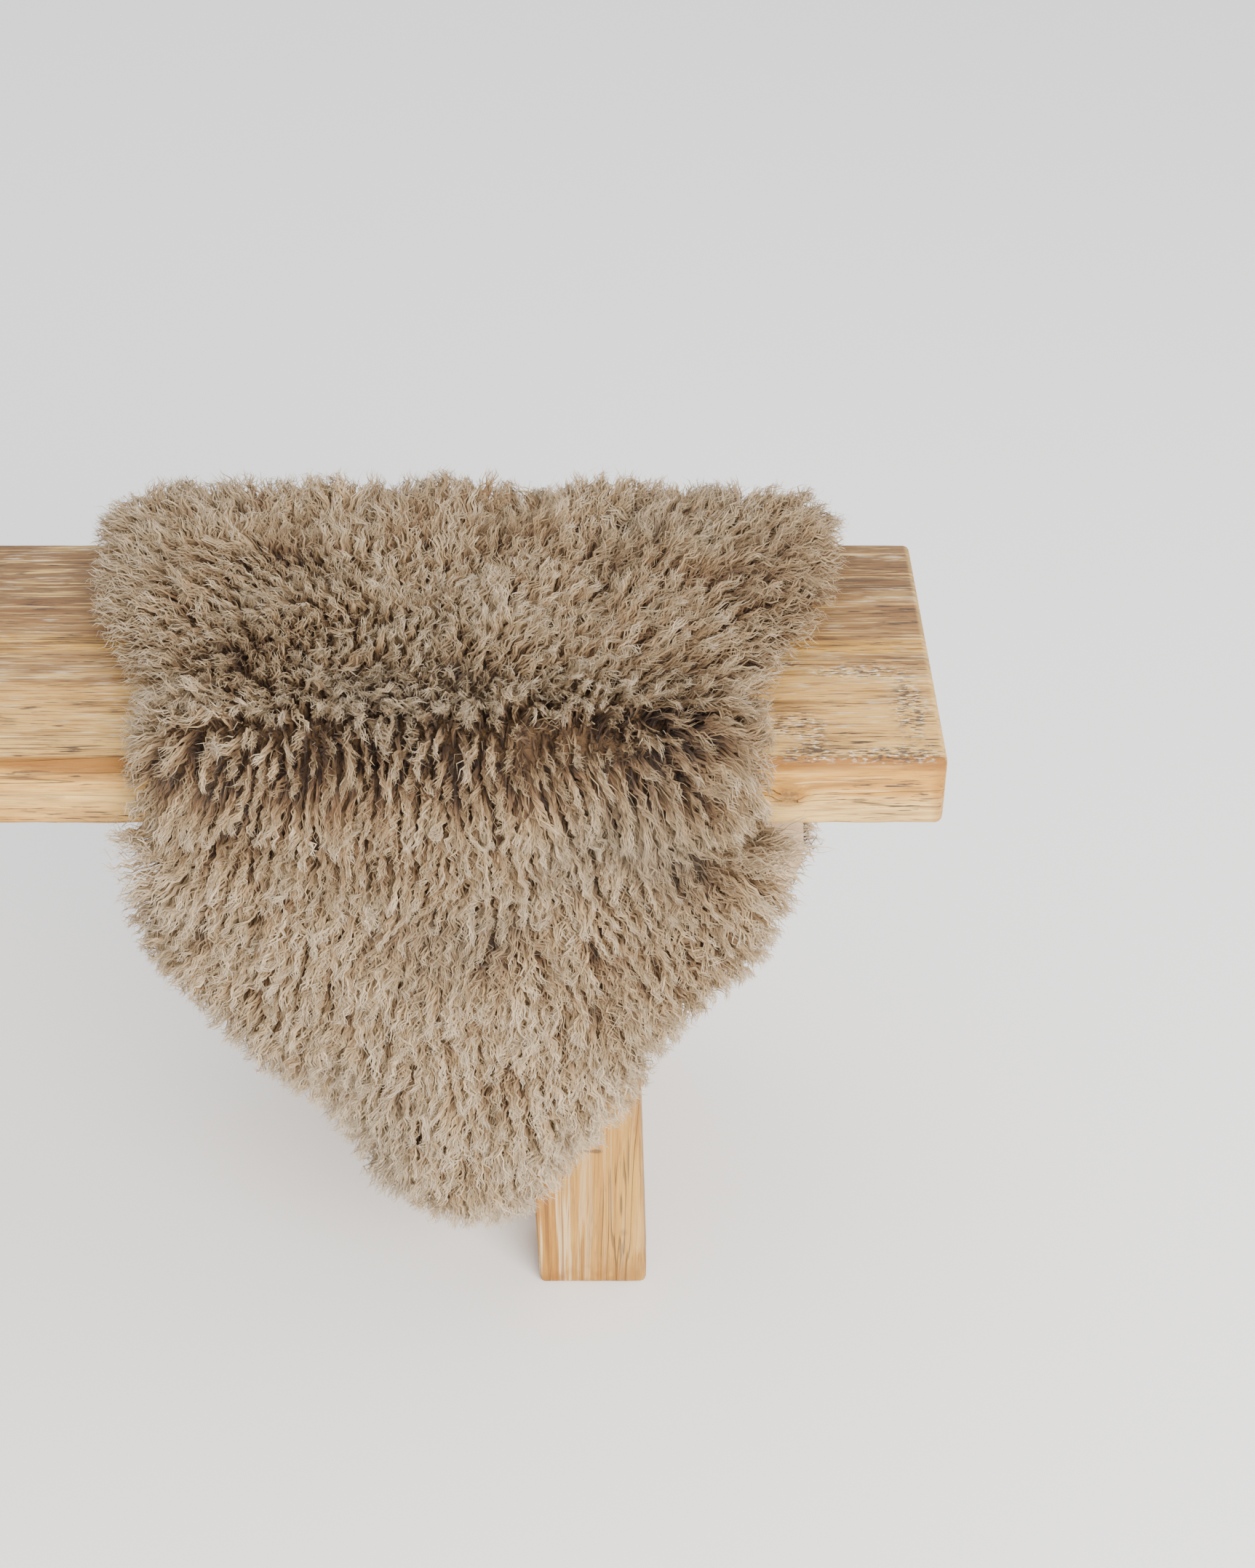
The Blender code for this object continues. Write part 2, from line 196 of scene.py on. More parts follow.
class Recipe:
    """A material under way: its nodes, and the shader that they end in."""

    def __init__(self, name: str) -> None:
        """Starts an empty material.

        Args:
            name: the material's name.
        """
        self.material = bpy.data.materials.new(name)
        self.material.use_nodes = True
        self.tree = self.material.node_tree
        self.tree.nodes.clear()

    def node(
        self,
        kind: str,
        settings: Mapping[str, object] | None = None,
        sockets: Mapping[Union[str, int], Value] | None = None,
        output: Union[str, int] = 0,
    ) -> Tone:
        """Adds a node.

        Args:
            kind: the node's type.
            settings: its properties, set first; "stops" fills a colour ramp.
            sockets: values or links of its inputs, by name or number.
            output: the output that the value is taken from.

        Returns:
            The value at that output.
        """
        made = self.tree.nodes.new(kind)
        for name, setting in (settings or {}).items():
            if name == "stops":
                self._fill_ramp(made.color_ramp, setting)
            else:
                setattr(made, name, setting)
        for name, value in (sockets or {}).items():
            if isinstance(value, Tone):
                self.tree.links.new(value.socket, made.inputs[name])
            else:
                made.inputs[name].default_value = value
        return Tone(self, made.outputs[output])

    @staticmethod
    def _fill_ramp(ramp: bpy.types.ColorRamp, stops: Iterable[tuple[float, Colour]]) -> None:
        """Puts stops into a colour ramp.

        Args:
            ramp: the new ramp, which has two.
            stops: places and colours, from low to high.
        """
        stops = list(stops)
        while len(ramp.elements) < len(stops):
            ramp.elements.new(1.0)
        for element, (place, colour) in zip(ramp.elements, stops):
            element.position = place
            element.color = colour

    def number(self, operation: str, first: Value, second: Value = 0.0) -> Tone:
        """Arithmetic on one or two numbers."""
        return self.node("ShaderNodeMath", {"operation": operation}, {0: first, 1: second})

    def blend(self, share: Value, first: Value, second: Value) -> Tone:
        """Two colours mixed, by the second one's share."""
        settings = {"data_type": "RGBA", "blend_type": "MIX"}
        return self.node("ShaderNodeMix", settings, {0: share, 6: first, 7: second}, output=2)

    def coat(self, colour: Value, *layers: tuple[Value, Value]) -> Value:
        """A colour with thin layers over it.

        Args:
            colour: the colour underneath.
            layers: from the lowest to the uppermost, each as its share and its own colour.

        Returns:
            The colour on top.
        """
        for share, tone in layers:
            colour = self.blend(share, colour, tone)
        return colour

    def ramp(self, value: Value, stops: Iterable[tuple[float, Colour]]) -> Tone:
        """The colour that a number picks from a row of stops."""
        return self.node("ShaderNodeValToRGB", {"stops": stops}, {0: value})

    def split(self, vector: Tone) -> tuple[Tone, Tone, Tone]:
        """The numbers of a vector.

        Args:
            vector: the vector.

        Returns:
            Its x, y and z.
        """
        made = self.node("ShaderNodeSeparateXYZ", None, {0: vector})
        outputs = made.socket.node.outputs
        return Tone(self, outputs[0]), Tone(self, outputs[1]), Tone(self, outputs[2])

    def join(self, x: Value, y: Value, z: Value) -> Tone:
        """A vector of three numbers."""
        return self.node("ShaderNodeCombineXYZ", None, {0: x, 1: y, 2: z})

    def place(self) -> Tone:
        """Where the surface is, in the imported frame."""
        return self.node("ShaderNodeTexCoord", None, None, output="Object")

    def clouds(self, where: Tone, scale: float, detail: float = 3.0, drift: float = 0.0) -> Tone:
        """Noise from 0 to 1 at a vector."""
        sockets = {"Vector": where, "Scale": scale, "Detail": detail, "Distortion": drift}
        return self.node("ShaderNodeTexNoise", None, sockets)

    def patch(self, first: Tone, second: Tone, mark: Mark) -> Tone:
        """A soft round mask.

        Args:
            first: one coordinate.
            second: the other coordinate.
            mark: the mask's middle, and how far it spreads each way.

        Returns:
            The mask, from 1 in the middle to 0 outside.
        """
        one = (first - mark.middle[0]) / mark.reach[0]
        two = (second - mark.middle[1]) / mark.reach[1]
        return self.number("EXPONENT", 0.0 - (one * one + two * two))

    def patches(self, first: Tone, second: Tone, marks: Sequence[Mark]) -> Value:
        """Soft round masks, added up.

        Args:
            first: one coordinate.
            second: the other coordinate.
            marks: their middles and reaches.

        Returns:
            The sum, or 0 where there is no mark.
        """
        total = 0.0
        for mark in marks:
            total = self.patch(first, second, mark) + total
        return total

    def bump(self, height: Tone, distance: float, strength: float = 1.0) -> Tone:
        """A normal from a height."""
        sockets = {"Height": height, "Distance": distance, "Strength": strength}
        return self.node("ShaderNodeBump", None, sockets)

    def finish(
        self, colour: Value, roughness: Value, normal: Tone | None = None, **constants: float
    ) -> bpy.types.Material:
        """Ends the material in a Principled shader.

        Args:
            colour: base colour.
            roughness: roughness.
            normal: normal, if the surface has relief.
            constants: other sockets that are the same all over, with _ for a space.

        Returns:
            The finished material.
        """
        sockets: dict[Union[str, int], Value] = {"Base Color": colour, "Roughness": roughness}
        if normal is not None:
            sockets["Normal"] = normal
        for name, value in constants.items():
            sockets[name.replace("_", " ")] = value
        shader = self.node("ShaderNodeBsdfPrincipled", None, sockets)
        self.node_output(shader)
        return self.material

    def node_output(self, shader: Tone) -> None:
        """Joins the shader to the material's output."""
        end = self.tree.nodes.new("ShaderNodeOutputMaterial")
        self.tree.links.new(shader.socket, end.inputs["Surface"])


@dataclass(frozen=True)
class WoolFinish:
    """Naturally brown-grey wool: dark at the roots and paler to the tips, partly as painted shade and
    painted light.
    """

    # from depth to tips: the wool's own colours, with painted shade in the dark roots and painted light in
    # the pale tips
    depth: Colour = srgb(60, 37, 18)
    shade: Colour = srgb(114, 83, 50)
    body: Colour = srgb(175, 144, 104)
    light: Colour = srgb(206, 178, 138)
    tips: Colour = srgb(234, 211, 176)
    grey: Colour = srgb(168, 150, 126)
    warm: Colour = srgb(152, 115, 75)

    def make(self) -> bpy.types.Material:
        """Dresses a strand by its lock attribute: root to tip, tone, across and number.

        Returns:
            The material.
        """
        recipe = Recipe("wavy wool")
        lock = recipe.node("ShaderNodeAttribute", {"attribute_name": "lock"}, None, output="Color")
        height, tone, around = recipe.split(lock)
        number = recipe.node("ShaderNodeAttribute", {"attribute_name": "lock"}, None, output="Alpha")
        streak = recipe.clouds(recipe.join(around * 5.0, number * 60.0, height * 2.4), 1.0, 3.0)
        fleck = recipe.clouds(recipe.join(around * 16.0, number * 90.0, height * 7.0), 1.0, 2.0)
        # painted shade and light: the ramp darkens strands towards the roots as shade deep in the pile, and
        # pales them to the tips as light through thin wool
        level = height + (tone - 0.5) * 0.56 + (streak - 0.5) * 0.26
        shades = (self.depth, self.shade, self.body, self.light, self.tips)
        colour = recipe.ramp(level, zip((0.0, 0.26, 0.54, 0.80, 1.0), shades))
        where = recipe.place()
        wide = recipe.clouds(where, 9.0, 3.0)
        colour = recipe.blend(wide.over(0.50, 0.72) * 0.45, colour, self.grey)
        colour = recipe.blend(wide.over(0.48, 0.28) * (1.0 - height) * 0.6, colour, self.warm)
        relief = recipe.bump(streak * 0.7 + fleck * 0.3, 0.0012)
        return recipe.finish(
            colour, 0.72 + (fleck - 0.5) * 0.2, relief, Sheen_Weight=0.06, Sheen_Roughness=0.5
        )


@dataclass(frozen=True)
class UnderwoolFinish:
    """The dark felted wool between the locks, with painted shade along the crease."""

    deep: Colour = srgb(72, 49, 30)
    pale: Colour = srgb(138, 106, 70)
    # colour of the painted shade along the crease
    crease: Colour = srgb(40, 23, 11)

    def make(self) -> bpy.types.Material:
        """Mixes the finish.

        Returns:
            The material.
        """
        recipe = Recipe("underwool")
        where = recipe.place()
        curl = recipe.clouds(where, 190.0, 4.0, 1.5)
        wide = recipe.clouds(where, 24.0, 3.0)
        level = curl * 0.7 + wide * 0.3
        colour = recipe.ramp(level, [(0.30, self.deep), (0.72, self.pale)])
        # painted shade: the underwool darkens along the crease where the wool parts
        crease = recipe.node("ShaderNodeAttribute", {"attribute_name": "crease"}, None, output="Fac")
        colour = recipe.blend(crease * 0.7, colour, self.crease)
        return recipe.finish(colour, 0.95, recipe.bump(curl, 0.004))


@dataclass(frozen=True)
class SuedeFinish:
    """The tanned flesh side: cream suede, darker in its creases and cloudy all over."""

    cream: Colour = srgb(200, 174, 142)
    tan: Colour = srgb(150, 120, 88)
    nap: Colour = srgb(178, 150, 117)

    def make(self) -> bpy.types.Material:
        """Mixes the finish.

        Returns:
            The material.
        """
        recipe = Recipe("tanned suede")
        where = recipe.place()
        cloud = recipe.clouds(where, 14.0, 4.0, 0.6)
        pores = recipe.clouds(where, 420.0, 3.0)
        veins = recipe.clouds(where, 46.0, 5.0, 1.2)
        level = cloud * 0.6 + veins * 0.4
        colour = recipe.ramp(level, [(0.34, self.tan), (0.50, self.nap), (0.64, self.cream)])
        colour = recipe.blend(pores.over(0.42, 0.70) * 0.25, colour, self.tan)
        relief = recipe.bump(pores * 0.5 + veins * 0.5, 0.0011)
        return recipe.finish(colour, 0.86 + (pores - 0.5) * 0.16, relief, Sheen_Weight=0.4)


class Grain(Enum):
    """Which way a board's grain runs."""

    ALONG_BENCH = "along the bench"
    UPRIGHT = "upright"


@dataclass(frozen=True)
class Mark:
    """A blemish or a knot on a board: its middle and reach, in two of the board's coordinates."""

    middle: tuple[float, float]
    reach: tuple[float, float]

    def moved(self, distance: float) -> Mark:
        """The same mark, further along its first coordinate."""
        return Mark((self.middle[0] + distance, self.middle[1]), self.reach)


class BoardSpace:
    """A board as its material reads it: its corners, and coordinates that follow its grain."""

    knot_bend: float = 0.004
    sway_width: float = 0.030
    end_skin: tuple[float, float] = (0.0011, 0.0003)

    def __init__(
        self, recipe: Recipe, low: Vector, high: Vector, grain: Grain, knots: Sequence[Mark]
    ) -> None:
        """Reads the place that is coloured, and bends the grain round the knots.

        Args:
            recipe: the material under way.
            low: the board's lowest corner.
            high: the board's highest corner.
            grain: which way the grain runs.
            knots: the knots in its front face.
        """
        self.recipe, self.low, self.high = recipe, low, high
        self.upright = grain is Grain.UPRIGHT
        self.x, self.y, self.z = recipe.split(recipe.place())
        self.run, side, other = (self.z, self.x, self.y) if self.upright else (self.x, self.y, self.z)
        self.turn = recipe.patches(self.x, self.z, knots)
        slow = recipe.clouds(recipe.join(self.run * 1.7, side * 6.0, other * 6.0), 1.0, 2.0)
        sway = (slow - 0.5) * self.sway_width
        self.side = side + sway + self.turn * self.knot_bend
        self.other = other + sway + self.turn * self.knot_bend

    def grain(self, length: float, width: float, detail: float = 3.0) -> Tone:
        """Noise drawn out along the grain.

        Args:
            length: how many of its features a metre holds along the grain.
            width: how many a metre holds across it.
            detail: how finely each feature is broken up.

        Returns:
            The noise, from 0 to 1.
        """
        where = self.recipe.join(self.run * length, self.side * width, self.other * width)
        return self.recipe.clouds(where, 1.0, detail)

    def front(self, deep: float = 0.006, full: float = 0.002) -> Tone:
        """A mask of the front face: 1 down to a full depth, and 0 from a deeper one."""
        return self.y.over(self.low.y + deep, self.low.y + full)

    def sawn_ends(self) -> Tone:
        """Finds the sawn ends.

        Returns:
            A mask of the thin skin of both.
        """
        first, last = (self.low.z, self.high.z) if self.upright else (self.low.x, self.high.x)
        deep, full = self.end_skin
        return self.run.over(last - deep, last - full) + self.run.over(first + deep, first + full)


@dataclass(frozen=True)
class PineFinish:
    """Old bare pine: straw and honey grain with pale wear, cracks and residue.

    Attributes:
        name: the material's name.
        grain: which way the grain runs.
        bands: the colours across a board, each at its place from 0 to 1.
        face: colour of the front face.
        wear: colour of the pale worn streaks.
        line: colour of the dark streaks.
        arris: warm colour of the edges.
        residue: pale dirt.
        soot: dark dirt.
        pace: how many features the grain has along its run, against the plank's.
        face_share: how strongly the front face's colour shows.
        dash_share: how strongly the short dark dashes show.
        pale_share: how strongly the short pale dashes show.
        end_heart: how far below or beside the board the heart of its growth rings lies.
        ring_pitch: width of a growth ring.
        scars: an upright's crack, nick, hollow, shake and stain, from its left edge and the floor.
    """

    name: str
    grain: Grain
    bands: tuple[tuple[float, Colour], ...]
    face: Colour
    wear: Colour
    line: Colour
    arris: Colour = srgb(132, 82, 8)
    residue: Colour = srgb(232, 216, 190)
    soot: Colour = srgb(66, 48, 34)
    pace: float = 1.0
    face_share: float = 1.0
    dash_share: float = 0.90
    pale_share: float = 0.42
    end_heart: float = 0.090
    ring_pitch: float = 0.0042
    scars: tuple[Mark, ...] = (
        Mark((0.0685, 0.080), (0.0011, 0.013)),
        Mark((0.043, 0.132), (0.011, 0.0012)),
        Mark((0.052, 0.132), (0.0035, 0.0022)),
        Mark((0.0735, 0.125), (0.0008, 0.030)),
        Mark((0.0700, 0.052), (0.0055, 0.0060)),
    )

    def make(
        self, low: Vector, high: Vector, marks: Sequence[Mark] = (), knots: Sequence[Mark] = ()
    ) -> bpy.types.Material:
        """The material of one board.

        Args:
            low: the board's lowest corner.
            high: the board's highest corner.
            marks: where dark and pale residue sits on its top.
            knots: where the grain of its front face turns round a knot.

        Returns:
            The finished material.
        """
        recipe = Recipe(self.name)
        board = BoardSpace(recipe, low, high, self.grain, knots)
        rings = board.grain(9.0 * self.pace, 170.0, 5.0)
        lines = board.grain(20.0 * self.pace, 460.0, 5.0)
        fibre = board.grain(60.0 * self.pace, 1300.0)
        split = recipe.number("ABSOLUTE", board.grain(2.6, 105.0, 2.0) - 0.5)
        cracks = split.over(0.016, 0.004) * board.grain(6.0, 30.0, 2.0).over(0.50, 0.60)
        colour = self._figured(board, rings, lines, fibre)
        colour = recipe.blend(cracks * 0.60, colour, self.soot)
        if board.upright:
            colour = self._upright_wear(board, colour)
        else:
            colour = self._plank_wear(board, colour)
        if marks:
            colour = self._dirty_top(board, colour, marks)
        if knots:
            colour = self._knotty(board, colour)
        colour = recipe.blend(board.sawn_ends() * 0.9, colour, self._end_grain(board))
        relief = recipe.bump(rings * 0.35 + lines * 0.35 + fibre * 0.3 - cracks * 0.8, 0.0016, 0.9)
        return recipe.finish(colour, 0.66 + (lines - 0.5) * 0.3, relief)

    def _figured(self, board: BoardSpace, rings: Tone, lines: Tone, fibre: Tone) -> Value:
        """Boards' bands with the grain's figure over them.

        Args:
            board: the board.
            rings: the broad streaks of the grain.
            lines: its narrow streaks.
            fibre: its finest streaks.

        Returns:
            The colour of sound wood.
        """
        recipe = board.recipe
        across, first, last = (
            (board.x, board.low.x, board.high.x) if board.upright else (board.y, board.low.y, board.high.y)
        )
        boards = board.grain(1.4, 24.0)
        share = (across - first) / (last - first) + (boards - 0.5) * 0.55 + (rings - 0.5) * 0.20
        face = recipe.blend(boards.over(0.40, 0.62), self.face, self.wear)
        front = board.front(0.0045, 0.0015)
        calm = 1.0 - front * 0.35
        blotch = board.grain(16.0, 46.0, 4.0)
        dashes = board.grain(55.0, 760.0).over(0.565, 0.635) * (0.25 + blotch.over(0.42, 0.60))
        pale = board.grain(48.0, 620.0).over(0.58, 0.65) * blotch.over(0.56, 0.42)
        return recipe.coat(
            recipe.ramp(share, self.bands),
            (front * self.face_share, face),
            (rings.over(0.52, 0.66) * calm * 0.55, self.line),
            (lines.over(0.53, 0.64) * calm * 0.65, self.line),
            (lines.over(0.46, 0.34) * 0.75, self.wear),
            ((fibre - 0.5) * 0.9 + 0.12, self.line),
            (blotch.over(0.52, 0.70) * 0.35, self.line),
            (blotch.over(0.46, 0.30) * 0.30, self.wear),
            (dashes * self.dash_share, self.soot),
            (pale * (1.0 - front) * self.pale_share, self.residue),
        )

    def _dirty_top(self, board: BoardSpace, colour: Value, marks: Sequence[Mark]) -> Value:
        """Pale dabs and dark flecks of residue on the board's top.

        Args:
            board: the board.
            colour: the colour underneath.
            marks: where the residue sits.

        Returns:
            The colour with the residue.
        """
        top = board.z.over(board.high.z - 0.0045, board.high.z - 0.0020)
        spread = board.recipe.patches(board.x, board.y, marks).over(0.15, 0.75) * top
        dabs = board.grain(230.0, 760.0, 2.0).over(0.55, 0.62)
        flecks = board.grain(150.0, 800.0, 2.0).over(0.51, 0.56)
        return board.recipe.coat(
            colour, (dabs * spread * 0.75, self.residue), (flecks * spread * 0.90, self.soot)
        )

    def _knotty(self, board: BoardSpace, colour: Value) -> Value:
        """Warm wood round the knots of the front face, and dark specks in them.

        Args:
            board: the board, which knows its knots.
            colour: the colour underneath.

        Returns:
            The colour with the knots.
        """
        recipe = board.recipe
        glow = board.turn.over(0.02, 0.50) * board.front()
        speck = recipe.clouds(recipe.place(), 420.0, 3.0).over(0.40, 0.60)
        return recipe.coat(
            colour,
            (glow * 0.45, self.arris),
            (board.turn.over(0.40, 0.95) * (0.20 + speck * 0.40), self.soot),
        )

    def _end_grain(self, board: BoardSpace) -> Value:
        """Growth rings round a heart below the board, with rays and drying checks.

        Args:
            board: the board.

        Returns:
            The colour of its sawn ends.
        """
        recipe = board.recipe
        rise, start = (board.x, board.low.x) if board.upright else (board.z, board.low.z)
        first = board.y - (board.low.y + 0.38 * self.end_heart)
        second = rise - (start - self.end_heart)
        radius = recipe.number("SQRT", first * first + second * second)
        wander = recipe.clouds(recipe.place(), 22.0, 3.0) - 0.5
        ring = recipe.number("FRACT", (radius + wander * 0.010) / self.ring_pitch)
        late = ring.over(0.45, 0.92) * ring.over(1.0, 0.93)
        angle = recipe.number("ARCTAN2", first, second)
        ray = recipe.clouds(recipe.join(angle * 90.0, radius * 16.0, 0.0), 1.0, 3.0)
        return recipe.coat(
            self.wear,
            (late * 0.65 + 0.18, self.line),
            (ray.over(0.50, 0.68) * 0.45, self.line),
            (ray.over(0.36, 0.30) * 0.80, self.soot),
        )

    def _plank_wear(self, board: BoardSpace, colour: Value) -> Value:
        """Honey along the front arris and the lower one, and a pale right end.

        Args:
            board: the plank.
            colour: the colour underneath.

        Returns:
            The worn colour.
        """
        recipe, low, high = board.recipe, board.low, board.high
        ragged = recipe.clouds(recipe.join(board.x * 12.0, board.z * 60.0, 0.0), 1.0, 4.0)
        front = board.front()
        band = ((high.z - board.z) + (ragged - 0.5) * 0.018).over(0.0120, 0.0040) * front
        foot = ((board.z - low.z) + (ragged - 0.5) * 0.008).over(0.0060, 0.0010) * front
        end = (board.x + (ragged - 0.5) * 0.005).over(high.x - 0.0048, high.x - 0.0020)
        corner = (board.x + (ragged - 0.5) * 0.010).over(high.x - 0.010, high.x - 0.003) * front
        return recipe.coat(
            colour,
            (band * 0.90 + foot * 0.45, self.arris),
            (end * (1.0 - front) * 0.30, self.wear),
            (corner * 0.5, self.arris),
        )

    def _upright_wear(self, board: BoardSpace, colour: Value) -> Value:
        """Chalky streaks on the left, dark orange at the foot, and a short crack, a nick and a stain.

        Args:
            board: the leg.
            colour: the colour underneath.

        Returns:
            The worn colour.
        """
        recipe, x, y, z, low = board.recipe, board.x, board.y, board.z, board.low
        face = board.front()
        left = (x - low.x).over(0.055, 0.020) * face
        streaks = board.grain(4.0, 240.0)
        grooves = recipe.clouds(recipe.join(x * 330.0, y * 330.0, z * 4.0), 1.0, 3.0)
        foot = z.over(0.030, 0.006) * recipe.clouds(recipe.place(), 45.0, 2.0).over(0.44, 0.56)
        crack, nick, hollow, shake, stain = [recipe.patch(x, z, scar.moved(low.x)) for scar in self.scars]
        scarred = face * (crack + nick + hollow + shake + stain * 0.5).over(0.2, 0.8)
        return recipe.coat(
            colour,
            (streaks.over(0.53, 0.60) * (0.12 + left * 0.50), self.residue),
            (grooves.over(0.54, 0.64) * (0.15 + left * 0.65), self.line),
            (foot * 0.50, self.arris),
            (scarred * 0.7, self.soot),
        )


@dataclass(frozen=True)
class Girth:
    """Half widths of the cut hide on each side of its spine."""

    along: float
    right: float
    left: float


@dataclass(frozen=True)
class Parting:
    """Where the wool parts over the front bend: its turn in degrees and its depth."""

    across: float
    turn: float
    depth: float


@dataclass(frozen=True)
class Sweep:
    """Which way the wool leans about a place on the hide, and how far from straight up."""

    across: float
    along: float
    toward_across: float
    toward_along: float
    tilt: float


@dataclass(frozen=True)
class Spot:
    """A place where the wool is paler, or darker where its change is negative."""

    across: float
    along: float
    reach: float
    change: float


def read_rows(places: Sequence[float], values: Sequence[float], at: Array) -> Array:
    """Values on the smooth curve through a short table.

    Args:
        places: the table's places, rising.
        values: the table's values.
        at: where to read it.

    Returns:
        The values there, level beyond the ends.
    """
    p, v = np.asarray(places), np.asarray(values)
    slopes = np.empty(len(p))
    slopes[1:-1] = (v[2:] - v[:-2]) / (p[2:] - p[:-2])
    slopes[0] = (v[1] - v[0]) / (p[1] - p[0])
    slopes[-1] = (v[-1] - v[-2]) / (p[-1] - p[-2])
    at = np.clip(at, p[0], p[-1])
    k = np.clip(np.searchsorted(p, at, side="right") - 1, 0, len(p) - 2)
    step = p[k + 1] - p[k]
    f = (at - p[k]) / step
    return (
        (2 * f**3 - 3 * f**2 + 1) * v[k]
        + (f**3 - 2 * f**2 + f) * slopes[k] * step
        + (3 * f**2 - 2 * f**3) * v[k + 1]
        + (f**3 - f**2) * slopes[k + 1] * step
    )


@dataclass(frozen=True)
class Drape:
    """How the flat hide lies over the bench."""

    seat_middle: float
    seat_top: float
    spine_x: float
    seat_half: float = 0.1255
    arris: float = 0.004
    clearance: float = 0.0022
    curl: float = 0.030
    curl_from: float = 0.095
    curl_width: float = 0.125
    curl_below: float = 0.046
    curl_length: float = 0.120
    free_drop: float = 0.30
    billow: float = 0.009
    wave: float = 0.005
    wave_length: float = 0.19
    wave_phase: float = 0.15

    @property
    def bend_radius(self) -> float:
        """Radius of the flesh side over the seat's edge."""
        return self.arris + self.clearance

    @property
    def top_half(self) -> float:
        """From the seat's middle to the start of the bend."""
        return self.seat_half - self.arris

    @property
    def hang_start(self) -> float:
        """From the seat's middle to where the hide hangs straight down."""
        return self.top_half + self.bend_radius * math.pi / 2

    def place(self, across: Array, along: Array) -> Array:
        """Lays points of the flat hide's flesh side on the bench.

        Args:
            across: their distances from the spine.
            along: their distances from the seat's middle, towards the neck.

        Returns:
            Where they lie.
        """
        side = np.where(along >= 0, 1.0, -1.0)
        run = np.abs(along)
        turn = np.clip((run - self.top_half) / self.bend_radius, 0.0, math.pi / 2)
        drop = np.maximum(run - self.hang_start, 0.0)
        out = np.minimum(run, self.top_half) + self.bend_radius * np.sin(turn)
        height = self.seat_top - self.arris + self.bend_radius * np.cos(turn) - drop
        far = np.abs(across)
        curl = ease((far - self.curl_from) / self.curl_width)
        curl = curl * ease((drop - self.curl_below) / self.curl_length)
        free = ease(drop / self.free_drop)
        swing = 1 + np.sin(2 * math.pi * (across / self.wave_length + self.wave_phase * side))
        out = out - self.curl * curl + self.billow * free * (1 - ease(far / self.curl_from - 0.6))
        out = out + self.wave * swing * free * (1 - curl)
        return np.stack([self.spine_x + across, self.seat_middle - side * out, height], axis=-1)

    def frames(self, across: Array, along: Array) -> tuple[Array, Array, Array]:
        """Directions on the draped hide.

        Args:
            across: flat distances from the spine.
            along: flat distances from the seat's middle.

        Returns:
            The ways across, along and straight out on the wool side.
        """
        step = 0.0015
        east = unit(self.place(across + step, along) - self.place(across - step, along))
        south = unit(self.place(across, along + step) - self.place(across, along - step))
        return east, south, unit(np.cross(south, east))

    def lift(self, across: Array, along: Array, height: Array) -> Array:
        """Places at a height over the flesh side."""
        return self.place(across, along) + self.frames(across, along)[2] * np.asarray(height)[..., None]


